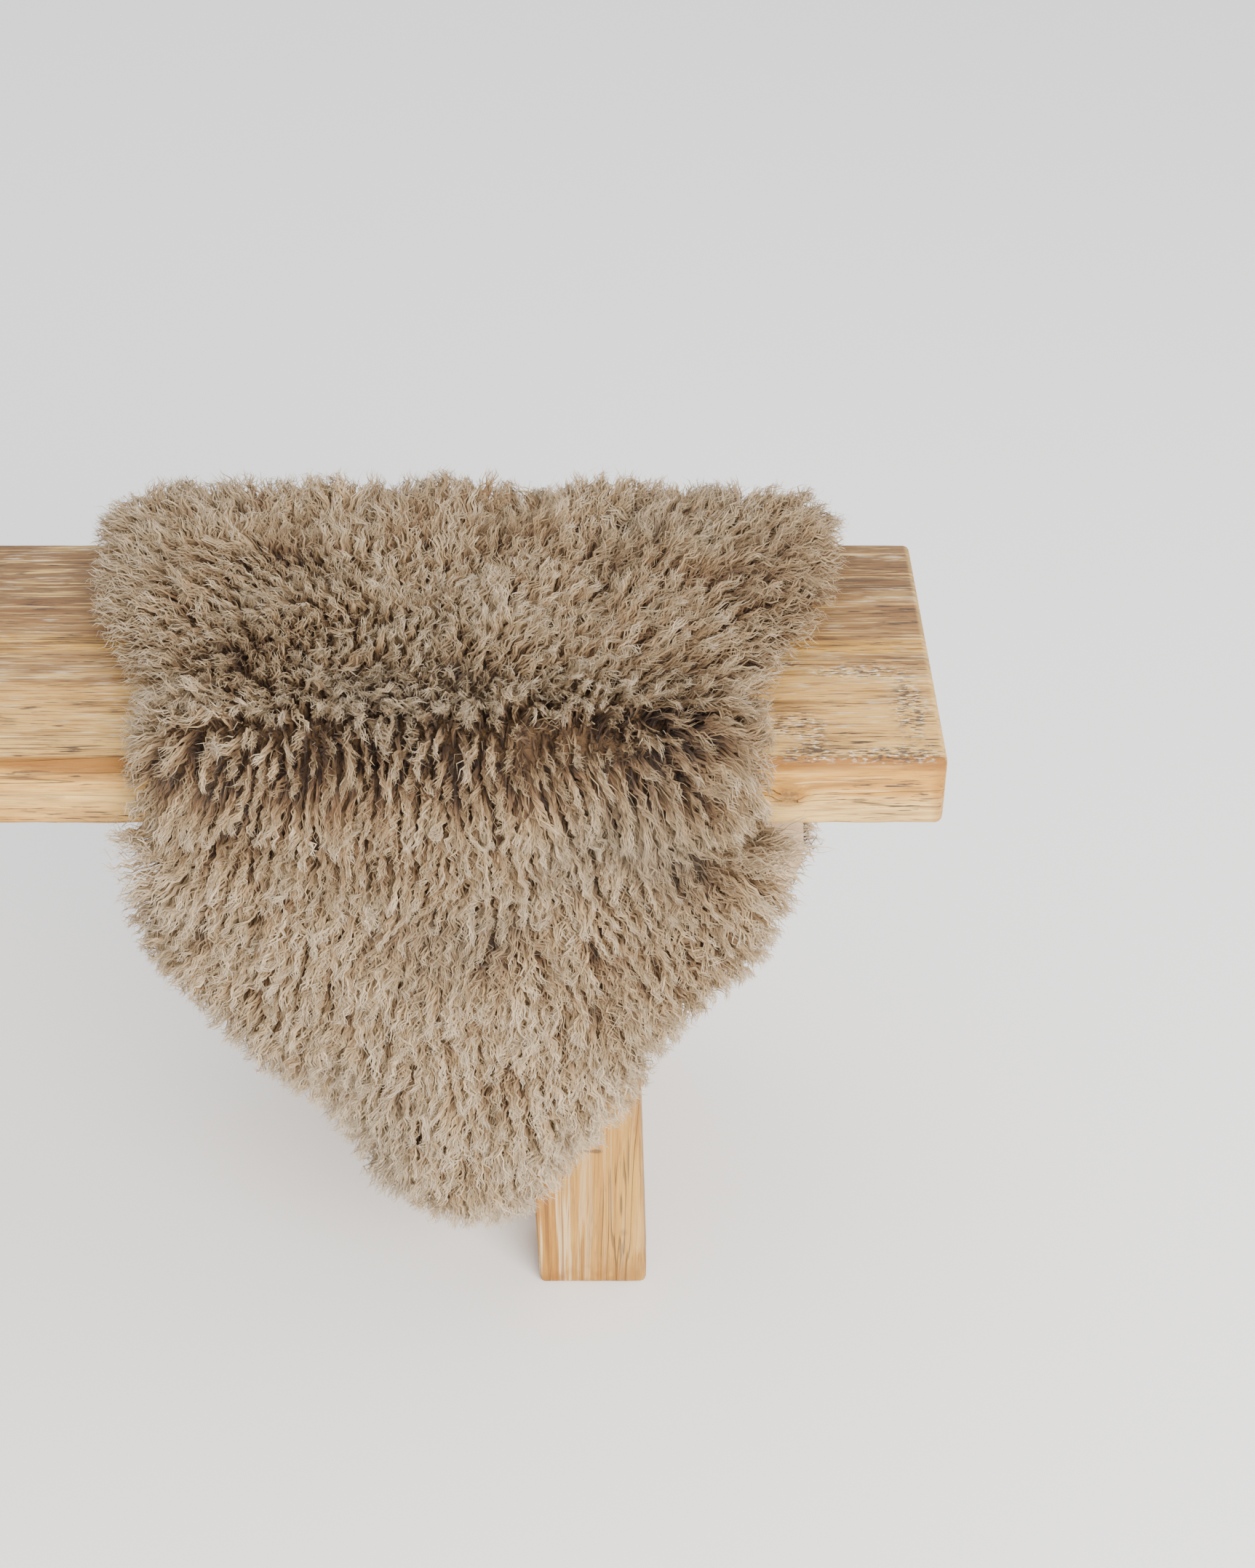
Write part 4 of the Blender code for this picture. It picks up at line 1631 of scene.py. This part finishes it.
    def own_lines(
        self, flat: Array, rng: np.random.Generator, rings: int, kind: Strand, loose: float
    ) -> Array:
        """Each strand's own line.

        Args:
            flat: roots.
            rng: the source of unevenness.
            rings: points on each line.
            kind: lock or stray.
            loose: how much the leans differ from neighbour to neighbour.

        Returns:
            Points, as strands by rings by 3.
        """
        distance, way, _ = self.cut.from_edge(flat)
        toward, tilt = self.lean(flat, distance, way)
        toward = turned(toward, rng.normal(0.0, 0.34 * loose, len(flat)))
        tilt = np.clip(tilt + rng.normal(0.0, 0.16 * loose, len(flat)), 0.0, 1.36)
        pile = self.cut.pile_height(self.drape, flat, distance)
        start = (self.root_share if kind is Strand.LOCK else self.stray_root_share) * pile
        rim = self.near_rim(flat, distance)
        start = start * (1 - 0.4 * rim)
        reach = (pile - start) / np.maximum(np.cos(tilt * 0.95), 0.40)
        reach = np.clip(reach, self.shortest, self.longest)
        above = -self.past_crease(flat)
        overhang = ease(above / 0.002) * (1 - ease((above - 0.008) / 0.014))
        reach = reach + self.crease_length * self.near_crease(flat) + self.overhang_length * overhang
        lobe = self.near_lobe(flat)
        uneven = 1 + rng.uniform(-0.22, 0.16, len(flat)) * loose * (1 - 0.6 * lobe)
        spread = np.where(flat[:, 0] > 0, self.lobe_right, self.lobe_left) * lobe
        reach = (reach * (1 - rim) + (self.rim_length + spread) * rim) * uneven
        if kind is Strand.STRAY:
            reach = reach * rng.uniform(0.80, 1.15, len(flat))
        hooks = rng.normal(0.0, self.hook, (len(flat), 2))
        return self.paths(flat, start, toward, tilt, reach, rings, hooks)

    def near_rim(self, flat: Array, distance: Array) -> Array:
        """1 for roots at the cut edge, fading to 0 inward, and further in where a lobe spreads."""
        return hump(distance, self.edge_reach + self.lobe_edge_reach * self.near_lobe(flat))

    def near_lobe(self, flat: Array) -> Array:
        """1 for roots in the lobes that spread sideways just under the seat, fading to 0 round them."""
        outward = ease((np.abs(flat[:, 0]) - self.lobe_from) / self.lobe_fade)
        return hump(flat[:, 1] - self.lobe_along, self.lobe_reach) * outward

    def past_crease(self, flat: Array) -> Array:
        """How far along the hide roots are past the crease, or less than 0 before it."""
        return flat[:, 1] - self.cut.crease(self.drape, flat)[0]

    def near_crease(self, flat: Array) -> Array:
        """Finds the roots round the crease, where the locks are longest.

        Args:
            flat: roots.

        Returns:
            1 for those near it, fading to 0 down the flap and over the seat.
        """
        below = self.past_crease(flat)
        down, up = 1 - ease((below - 0.012) / 0.055), 1 - ease((-below - 0.012) / 0.02)
        return np.where(below > -0.012, down, up)

    def strands(
        self, flat: Array, rng: np.random.Generator, kind: Strand, rings: int
    ) -> tuple[Array, Array, Array]:
        """Finished centre lines and their tones.

        Args:
            flat: roots.
            rng: the source of their unevenness.
            kind: lock or stray.
            rings: points on each line.

        Returns:
            Points, sideways directions and tones.
        """
        guide_rng = np.random.default_rng(self.seed + 5)
        guides = self.roots(self.lock_pitch, self.lock_pitch * 1.3, guide_rng, 0.5)
        locks = Locks(guides, nearest_of(guides, flat), np.random.default_rng(self.seed + 7))
        line = self._gathered(flat, locks, rng, kind, rings)
        line, side = self._crimped(line, flat, locks, rng, kind)
        for solid in self.solids:
            line = solid.push_out(line, self.solid_gap)
        line[..., 2] = np.maximum(line[..., 2], self.floor_gap)
        return line, side, self._tones(flat, locks, rng)

    def _gathered(
        self, flat: Array, locks: Locks, rng: np.random.Generator, kind: Strand, rings: int
    ) -> Array:
        """Centre lines that part from their own roots and close up into locks.

        Args:
            flat: roots.
            locks: the locks.
            rng: the source of unevenness.
            kind: lock or stray.
            rings: points on each line.

        Returns:
            Points, as strands by rings by 3.
        """
        guide_rng = np.random.default_rng(self.seed + 6)
        lines = self.own_lines(locks.roots, guide_rng, rings, kind, 1.0)
        own = self.own_lines(flat, rng, rings, kind, 0.5)
        f = np.linspace(0.0, 1.0, rings)[None, :, None]
        chunky = self.near_crease(flat)
        rim = self.near_rim(flat, self.cut.from_edge(flat)[0])
        behind = hump(flat[:, 1] - self.crest, self.crest_reach)
        on_seat = 1 - ease((np.abs(flat[:, 1]) - self.seat_edge) / self.seat_fade)
        on_tail = ease((self.tail_edge - flat[:, 1]) / self.tail_fade)
        strength = self.gather * (1 - self.seat_loosening * on_seat)
        strength = strength + (self.crease_gather - strength) * chunky
        strength = strength * (1 - self.rim_loosening * rim) * (1 - self.crest_loosening * behind)
        strength = strength * (1 - self.tail_loosening * on_tail)
        strength = strength * (1.0 if kind is Strand.LOCK else self.stray_gather)
        onset = (1.25 + 0.9 * chunky)[:, None, None]
        pull = (strength * rng.uniform(0.75, 1.04, len(flat)))[:, None, None] * ease(f * onset)
        return own * (1 - pull) + lines[locks.nearest] * pull

    def _crimped(
        self, line: Array, flat: Array, locks: Locks, rng: np.random.Generator, kind: Strand
    ) -> tuple[Array, Array]:
        """Waves along the centre lines, in step within a lock.

        Args:
            line: centre lines.
            flat: their roots.
            locks: the locks.
            rng: the source of unevenness.
            kind: lock or stray.

        Returns:
            The wavy lines, and their sideways directions.
        """
        count, rings = line.shape[:2]
        tangent = unit(np.gradient(line, axis=1))
        out = self.drape.frames(flat[:, 0], flat[:, 1])[2][:, None, :]
        side = unit(np.cross(tangent, out) + 1e-6)
        rise = np.cross(side, tangent)
        travelled = np.cumsum(np.linalg.norm(np.diff(line, axis=1, prepend=line[:, :1]), axis=2), axis=1)
        phase = locks.even(0, 2 * math.pi) + rng.normal(0, 0.45, count)
        plane = locks.even(0, math.pi) + rng.normal(0, 0.4, count)
        period = self.crimp_length * locks.even(0.8, 1.3)
        size = self.crimp * locks.even(0.5, 1.4) * rng.uniform(0.8, 1.2, count)
        if kind is Strand.STRAY:
            size = size * 1.5
        f = np.linspace(0.0, 1.0, rings)[None, :]
        turn = 2 * math.pi * travelled / period[:, None] + phase[:, None]
        swell = size[:, None] * ease(f * 2.4) * (0.75 + 0.45 * f)
        wave, twist = (np.sin(turn) * swell)[..., None], (0.45 * np.cos(turn) * swell)[..., None]
        cos, sin = np.cos(plane)[:, None, None], np.sin(plane)[:, None, None]
        return line + (side * cos + rise * sin) * wave + (rise * cos - side * sin) * twist, side

    def _tones(self, flat: Array, locks: Locks, rng: np.random.Generator) -> Array:
        """How pale each strand is.

        Args:
            flat: roots.
            locks: the locks.
            rng: the source of unevenness.

        Returns:
            Tones from 0, dark, to 1, pale.
        """
        chunky = self.near_crease(flat)
        rim = self.near_rim(flat, self.cut.from_edge(flat)[0])
        by = self.shading
        tone = 0.5 + locks.normal(by.lock_spread) + rng.normal(0, by.strand_spread, len(flat))
        tone = tone + by.small_cloud * lumps(flat, 0.036, 17.0) + by.wide_cloud * lumps(flat, 0.085, 19.0)
        # painted highlights: a random share of strands made paler, as glints along single strands
        share = by.painted_highlight_share + by.painted_highlight_share_at_crease * chunky
        tone = tone + by.bright * (rng.uniform(0, 1, len(flat)) < share)
        hanging = ease((flat[:, 1] - self.hanging_from) / self.hanging_fade)
        tongue = ease((flat[:, 1] - by.tongue_from) / by.tongue_fade)
        # painted light: rim strands paler, as light through the thin wool at the outline; the tongue term
        # is the lower flap's paler wool
        tone = tone + (by.rim + by.hanging_rim_glow * hanging) * rim + by.tongue * tongue
        away = self.past_crease(flat)
        shallow = ease((flat[:, 0] - by.shallow_from) / by.shallow_fade)
        # painted shade: strands darker along the crease, weaker to the right
        tone = tone - (by.crease - by.crease_shade_shallow * shallow) * hump(away, by.crease_shade_reach)
        # painted shadow under the overhanging locks, weaker to the right
        below = hump(away - by.shade_below_at, by.shade_below_reach)
        tone = tone - by.below * below * (1 - by.shade_below_shallow * shallow)
        tone = tone + by.above * hump(away - by.above_at, by.above_reach)
        for spot in self.spots:
            gap = np.hypot(flat[:, 0] - spot.across, flat[:, 1] - spot.along)
            tone = tone + spot.change * hump(gap, spot.reach)
        return np.clip(tone, 0.0, 1.0)

    def ribbons(
        self, line: Array, side: Array, tone: Array, kind: Strand, rng: np.random.Generator, girth: float
    ) -> tuple[Array, Array, Array]:
        """Narrow tapered ribbons along the centre lines, each turned and twisted its own way.

        Args:
            line: centre lines.
            side: sideways directions.
            tone: one tone a strand.
            kind: lock or stray.
            rng: the source of thickness and turn.
            girth: how much wider than the usual strand.

        Returns:
            Points, triangles and the lock colours: root to tip, tone, across and number.
        """
        count, rings = line.shape[:2]
        f = np.linspace(0.0, 1.0, rings)
        thick = girth * (1.0 if kind is Strand.LOCK else self.stray_width)
        profile = (0.80 + 0.35 * np.sin(math.pi * np.minimum(f * 1.25, 1.0))) * (1 - 0.70 * f**2.6)
        girths = self.half_width * thick * profile[None, :] * rng.uniform(0.70, 1.35, count)[:, None]
        tangent = unit(np.gradient(line, axis=1))
        rise = unit(np.cross(side, tangent))
        side = unit(np.cross(tangent, rise))
        spin = rng.uniform(-1.1, 1.1, count)[:, None] + f[None, :] * rng.normal(0.0, 0.7, count)[:, None]
        wide = (side * np.cos(spin)[..., None] + rise * np.sin(spin)[..., None]) * girths[..., None]
        body = np.stack([(line - wide)[:, :-1], (line + wide)[:, :-1]], axis=2).reshape(count, -1, 3)
        points = np.concatenate([body, line[:, -1:]], axis=1)
        each = points.shape[1]
        row = np.arange(rings - 2) * 2
        first = np.column_stack([row, row + 1, row + 3])
        second = np.column_stack([row, row + 3, row + 2])
        tip = np.array([[each - 3, each - 2, each - 1]])
        pattern = np.concatenate([first, second, tip])
        faces = (pattern[None] + (np.arange(count) * each)[:, None, None]).reshape(-1, 3)
        colours = np.empty((count, each, 4))
        colours[:, :-1, 0] = np.repeat(f[:-1], 2)[None, :]
        colours[:, -1, 0] = 1.0
        colours[:, :-1, 2] = np.tile([0.0, 1.0], rings - 1)[None, :]
        colours[:, -1, 2] = 0.5
        colours[:, :, 1] = tone[:, None]
        colours[:, :, 3] = rng.uniform(0, 1, count)[:, None]
        return points.reshape(-1, 3), faces, colours.reshape(-1, 4)

    def build(self, finish: bpy.types.Material) -> list[bpy.types.Object]:
        """Grows all the wool, in pieces by the part of the hide that they stand on.

        Args:
            finish: its material.

        Returns:
            The pieces.
        """
        rng = np.random.default_rng(self.seed)
        locks = self.roots(self.pitch, self.tail_pitch, rng)
        strays = self.roots(self.pitch * 3.2, self.tail_pitch * 3.2, rng)
        edge = self.drape.hang_start
        right, front, behind = locks[:, 0] >= 0, locks[:, 1] > edge, locks[:, 1] < -edge
        seat = ~front & ~behind
        regions = (
            ("wool_neck_flap_right", front & right, 10, 1.0),
            ("wool_neck_flap_left", front & ~right, 10, 1.0),
            ("wool_seat_right", seat & right, 8, 1.0),
            ("wool_seat_left", seat & ~right, 8, 1.0),
            ("wool_tail_flap_right", behind & right, 7, 1.42),
            ("wool_tail_flap_left", behind & ~right, 7, 1.42),
        )
        made = []
        for name, chosen, rings, girth in regions:
            made.append(self._grow(name, locks[chosen], rng, Strand.LOCK, rings, girth, finish))
        made.append(self._grow("stray_wool", strays, rng, Strand.STRAY, 7, 1.0, finish))
        return made

    def _grow(
        self,
        name: str,
        flat: Array,
        rng: np.random.Generator,
        kind: Strand,
        rings: int,
        girth: float,
        finish: bpy.types.Material,
    ) -> bpy.types.Object:
        """Grows one joined piece of strands.

        Args:
            name: the piece's name.
            flat: roots.
            rng: the source of unevenness.
            kind: lock or stray.
            rings: points on each strand.
            girth: how much wider than the usual strand.
            finish: its material.

        Returns:
            The piece.
        """
        line, side, tone = self.strands(flat, rng, kind, rings)
        points, faces, colours = self.ribbons(line, side, tone, kind, rng, girth)
        piece = mesh_piece(name, points, faces, finish)
        lock = piece.data.attributes.new("lock", "FLOAT_COLOR", "POINT")
        lock.data.foreach_set("color", np.ascontiguousarray(colours, np.float32).ravel())
        return piece


@dataclass
class Board:
    """A sawn board with rounded, worn edges, lofted along its grain."""

    name: str
    low: Vector
    high: Vector
    grain: Grain
    top_shift: float = 0.0
    arris: float = 0.004
    step: float = 0.0120
    wear: float = 0.0007
    worn_reach: float = 0.010

    def build(self, finish: bpy.types.Material, slot: str) -> bpy.types.Object:
        """Saws the board and wears its edges.

        Args:
            finish: its wood.
            slot: the material slot of its CAD node; not used.

        Returns:
            The board.
        """
        along = 0 if self.grain is Grain.ALONG_BENCH else 2
        wide, deep = [k for k in range(3) if k != along]
        low, high = np.array(self.low), np.array(self.high)
        size, middle = high - low, (high + low) / 2
        section = self._section(size[wide] - abs(self.top_shift), size[deep])
        rings = max(int(size[along] / self.step), 8)
        ends = self.arris * (1 - np.cos(np.linspace(0, math.pi / 2, 4)))[:-1]
        inset = self.arris * (1 - np.sin(np.linspace(0, math.pi / 2, 4)))[:-1]
        places = np.concatenate(
            [ends, np.linspace(self.arris, size[along] - self.arris, rings), size[along] - ends[::-1]]
        )
        draw = np.concatenate([inset, np.zeros(rings), inset[::-1]])
        half = np.array([section[:, 0].max(), section[:, 1].max()])
        shrink = 1 - draw[:, None] / half[None, :]
        cross = section[None, :, :] * shrink[:, None, :]
        points = np.empty((len(places), len(section), 3))
        points[..., wide] = middle[wide] + cross[..., 0]
        points[..., deep] = middle[deep] + cross[..., 1]
        points[..., along] = (low[along] + places)[:, None]
        if self.top_shift:
            rise = (points[..., 2] - low[2]) / size[2]
            points[..., 0] += self.top_shift * (rise - 0.5)
        points = self._worn(points, middle, wide, deep)
        return self._close(points, finish)

    def _section(self, wide: float, deep: float) -> Array:
        """The rounded outline across the grain.

        Args:
            wide: its width.
            deep: its depth.

        Returns:
            Even points round it.
        """
        corner = np.linspace(0, math.pi / 2, 5)
        line = []
        for k, (sx, sy) in enumerate(((1, 1), (-1, 1), (-1, -1), (1, -1))):
            turn = corner + k * math.pi / 2
            centre = np.array([sx * (wide / 2 - self.arris), sy * (deep / 2 - self.arris)])
            line.append(centre + self.arris * np.column_stack([np.cos(turn), np.sin(turn)]))
        line = np.concatenate(line)
        filled = []
        for here, after in zip(line, np.roll(line, -1, axis=0)):
            count = max(int(round(np.linalg.norm(after - here) / self.step)), 1)
            filled.append(here + (after - here) * (np.arange(count) / count)[:, None])
        return np.concatenate(filled)

    def _worn(self, points: Array, middle: Array, wide: int, deep: int) -> Array:
        """Erodes the surface, most at the arrises, in hollows that run with the grain.

        Args:
            points: the surface, as rings of points.
            middle: the board's middle.
            wide: the axis of the outline's width.
            deep: the axis of its depth.

        Returns:
            The points, moved inward.
        """
        stretch = np.ones(3)
        stretch[0 if self.grain is Grain.ALONG_BENCH else 2] = 0.18
        hollow = np.clip(0.5 + lumps(points * stretch, 0.007, 2.0), 0.0, 1.0)
        dents = np.clip(lumps(points, 0.016, 4.0) - 0.15, 0.0, 1.0)
        offset = points - middle
        half = np.array([np.abs(offset[..., wide]).max(), np.abs(offset[..., deep]).max()])
        near = [
            1 - np.clip((half[k] - np.abs(offset[..., axis])) / self.worn_reach, 0, 1)
            for k, axis in enumerate((wide, deep))
        ]
        corner = np.clip(near[0] * near[1] * 1.6, 0.0, 1.0)
        amount = self.wear * (0.35 * hollow + corner * (0.4 + 1.6 * dents))
        inward = np.zeros_like(points)
        inward[..., wide] = -np.sign(offset[..., wide]) * near[0]
        inward[..., deep] = -np.sign(offset[..., deep]) * near[1]
        return points + inward * amount[..., None]

    def _close(self, points: Array, finish: bpy.types.Material) -> bpy.types.Object:
        """Joins the rings by side walls and caps both ends.

        Args:
            points: the surface, as rings of points.
            finish: its wood.

        Returns:
            The closed piece.
        """
        rings, around = points.shape[:2]
        start = np.arange(rings - 1)[:, None] * around
        here, after = np.arange(around)[None, :], (np.arange(around) + 1)[None, :] % around
        above = start + around
        quads = np.stack([start + here, start + after, above + after, above + here], axis=-1)
        quads = quads.reshape(-1, 4)
        sides = np.concatenate([quads[:, [0, 1, 2]], quads[:, [0, 2, 3]]])
        flat = points.reshape(-1, 3)
        caps = np.stack([points[0].mean(axis=0), points[-1].mean(axis=0)])
        first = np.column_stack([after[0], here[0], np.full(around, len(flat))])
        base = (rings - 1) * around
        second = np.column_stack([base + here[0], base + after[0], np.full(around, len(flat) + 1)])
        faces = np.concatenate([sides, first, second])
        piece = mesh_piece(self.name, np.concatenate([flat, caps]), faces, finish, 35.0)
        return piece


@dataclass
class Bench:
    """The plank and its four splayed legs, in bare reclaimed pine."""

    seat_finish: PineFinish
    leg_finish: PineFinish
    seat_marks: tuple[Mark, ...] = (
        Mark((0.515, -0.117), (0.034, 0.007)),
        Mark((0.470, -0.096), (0.010, 0.020)),
        Mark((0.455, -0.088), (0.012, 0.012)),
        Mark((0.500, -0.030), (0.030, 0.008)),
        Mark((0.532, -0.070), (0.012, 0.036)),
        Mark((0.462, -0.118), (0.014, 0.006)),
        Mark((0.455, -0.020), (0.012, 0.005)),
        Mark((-0.30, 0.02), (0.030, 0.012)),
        Mark((-0.48, -0.10), (0.040, 0.010)),
    )
    knots: tuple[Mark, ...] = (
        Mark((0.456, 0.433), (0.009, 0.008)),
        Mark((-0.21, 0.430), (0.010, 0.008)),
    )
    splay: float = 1.5

    def build(self) -> list[bpy.types.Object]:
        """Builds all five boards, each standing for the CAD node of its place.

        Returns:
            The plank and the four legs.
        """
        made = []
        low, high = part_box("bench_seat")
        seat = Board("plank", low, high, Grain.ALONG_BENCH)
        finish = self.seat_finish.make(low, high, self.seat_marks, self.knots)
        made.append(seat.build(finish, "seat_wood"))
        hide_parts("bench_seat")
        for end, sign in (("right", 1.0), ("left", -1.0)):
            for face in ("front", "back"):
                name = f"leg_{face}_{end}"
                low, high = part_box(name)
                lean = (high.z - low.z) * math.tan(math.radians(self.splay))
                leg = Board(name + "_post", low, high, Grain.UPRIGHT, top_shift=-sign * lean)
                made.append(leg.build(self.leg_finish.make(low, high), "leg_wood"))
                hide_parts(name)
        return made


@dataclass
class Rug:
    """The whole sheepskin: hide, underwool and wool."""

    cut: HideCut
    drape: Drape
    solids: Sequence[Box]

    def build(self) -> list[bpy.types.Object]:
        """Builds the rug: the hide, the underwool over it and the wool.

        Returns:
            The hide, the underwool and the pieces of wool.
        """
        hide = Hide(self.cut, self.drape).build(SuedeFinish().make())
        LOG.info("hide: %d faces", len(hide.data.polygons))
        under = Underwool(self.cut, self.drape).build(UnderwoolFinish().make())
        LOG.info("underwool: %d faces", len(under.data.polygons))
        wool = Wool(self.cut, self.drape, self.solids).build(WoolFinish().make())
        for piece in wool:
            LOG.info("%s: %d faces", piece.name, len(piece.data.polygons))
        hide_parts("fleece", "rim_front", "rim_back", "rim_right", "rim_left")
        line = self.cut.outline()
        flat = (float(np.ptp(line[:, 0])), float(np.ptp(line[:, 1])))
        min(self.cut.area(), flat[0] * flat[1])
        return [hide, under, *wool]


@dataclass(frozen=True)
class Lamp:
    """A square soft light: its place, the length of its side, its power in watts and its tint."""

    name: str
    place: tuple[float, float, float]
    size: float
    power: float
    tint: Colour


@dataclass
class Studio:
    """A plain pale floor, soft light from the right and the photograph's camera."""

    eye: tuple[float, float, float] = (0.359, -1.2602, 1.286)
    look_down: float = 36.6
    lens: float = 54.27
    sensor: float = 36.0
    floor_size: float = 16.0
    floor_tone: Colour = srgb(252, 251, 249)
    sky_tone: Colour = srgb(238, 240, 243)
    sky_strength: float = 1.45
    lit_place: tuple[float, float, float] = (0.2, 0.0, 0.35)
    lamps: tuple[Lamp, ...] = (
        Lamp("window", (1.5, -2.5, 1.75), 2.2, 205.0, srgb(255, 250, 244)),
        Lamp("ceiling", (0.0, 0.6, 3.0), 3.2, 26.0, srgb(250, 250, 255)),
    )

    def build(self) -> None:
        """Floor, lights, air and camera."""
        self._floor()
        for lamp in self.lamps:
            self._light(lamp)
        world = bpy.data.worlds.new("studio air")
        world.use_nodes = True
        air = world.node_tree.nodes["Background"]
        air.inputs["Color"].default_value = self.sky_tone
        air.inputs["Strength"].default_value = self.sky_strength
        bpy.context.scene.world = world
        self._camera()

    def _floor(self) -> None:
        """The floor, as stage."""
        recipe = Recipe("studio floor")
        grain = recipe.clouds(recipe.place(), 60.0, 3.0)
        half = self.floor_size / 2
        square = [(-half, -half, 0), (half, -half, 0), (half, half, 0), (-half, half, 0)]
        mesh = bpy.data.meshes.new("floor")
        mesh.from_pydata(square, [], [(0, 1, 2, 3)])
        mesh.materials.append(recipe.finish(self.floor_tone, 0.75 + grain * 0.05))
        put("floor", mesh)

    def _light(self, lamp: Lamp) -> None:
        """A light that points at the rug.

        Args:
            lamp: what it is like.
        """
        light = bpy.data.lights.new(lamp.name, "AREA")
        light.size = lamp.size
        light.energy = lamp.power
        light.color = lamp.tint[:3]
        made = put(lamp.name, light)
        made.location = lamp.place
        aim = Vector(self.lit_place) - Vector(lamp.place)
        made.rotation_euler = aim.to_track_quat("-Z", "Y").to_euler()

    def _camera(self) -> None:
        """The camera, where the photograph was taken from."""
        lens = bpy.data.cameras.new("camera")
        lens.lens = self.lens
        lens.sensor_width = self.sensor
        camera = put("camera", lens)
        camera.location = self.eye
        camera.rotation_euler = (math.radians(90.0 - self.look_down), 0.0, 0.0)
        bpy.context.scene.camera = camera


def main() -> None:
    """Builds every piece."""
    logging.basicConfig(level=logging.INFO, format="%(name)s: %(message)s")
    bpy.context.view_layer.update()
    seat_low, seat_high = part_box("bench_seat")
    solids = []
    for node in ("bench_seat", "leg_front_right", "leg_front_left", "leg_back_right", "leg_back_left"):
        low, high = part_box(node)
        solids.append(Box(np.array(low), np.array(high)))

    Studio().build()
    seat_pine = PineFinish(
        "straw pine",
        Grain.ALONG_BENCH,
        bands=(
            (0.00, srgb(220, 174, 94)),
            (0.28, srgb(210, 160, 82)),
            (0.40, srgb(148, 114, 70)),
            (0.48, srgb(208, 156, 60)),
            (0.60, srgb(150, 112, 62)),
            (0.76, srgb(118, 87, 50)),
            (1.00, srgb(126, 94, 54)),
        ),
        face=srgb(205, 148, 57),
        wear=srgb(226, 186, 112),
        line=srgb(112, 72, 32),
    )
    leg_pine = PineFinish(
        "honey pine",
        Grain.UPRIGHT,
        bands=(
            (0.00, srgb(158, 114, 54)),
            (0.25, srgb(178, 136, 74)),
            (0.50, srgb(162, 118, 58)),
            (0.75, srgb(180, 138, 78)),
            (1.00, srgb(156, 112, 54)),
        ),
        face=srgb(172, 113, 26),
        wear=srgb(196, 150, 70),
        line=srgb(122, 76, 22),
        residue=srgb(226, 202, 162),
        pace=0.45,
        face_share=0.90,
        dash_share=0.25,
        pale_share=0.20,
    )
    for board in Bench(seat_pine, leg_pine).build():
        LOG.info("%s: %d faces", board.name, len(board.data.polygons))

    LOG.info("bench built")
    drape = Drape(
        seat_middle=(seat_low.y + seat_high.y) / 2,
        seat_top=seat_high.z,
        spine_x=seat_high.x - SPINE_FROM_END,
    )
    Rug(HideCut(), drape, solids).build()


if __name__ == "__main__":
    main()
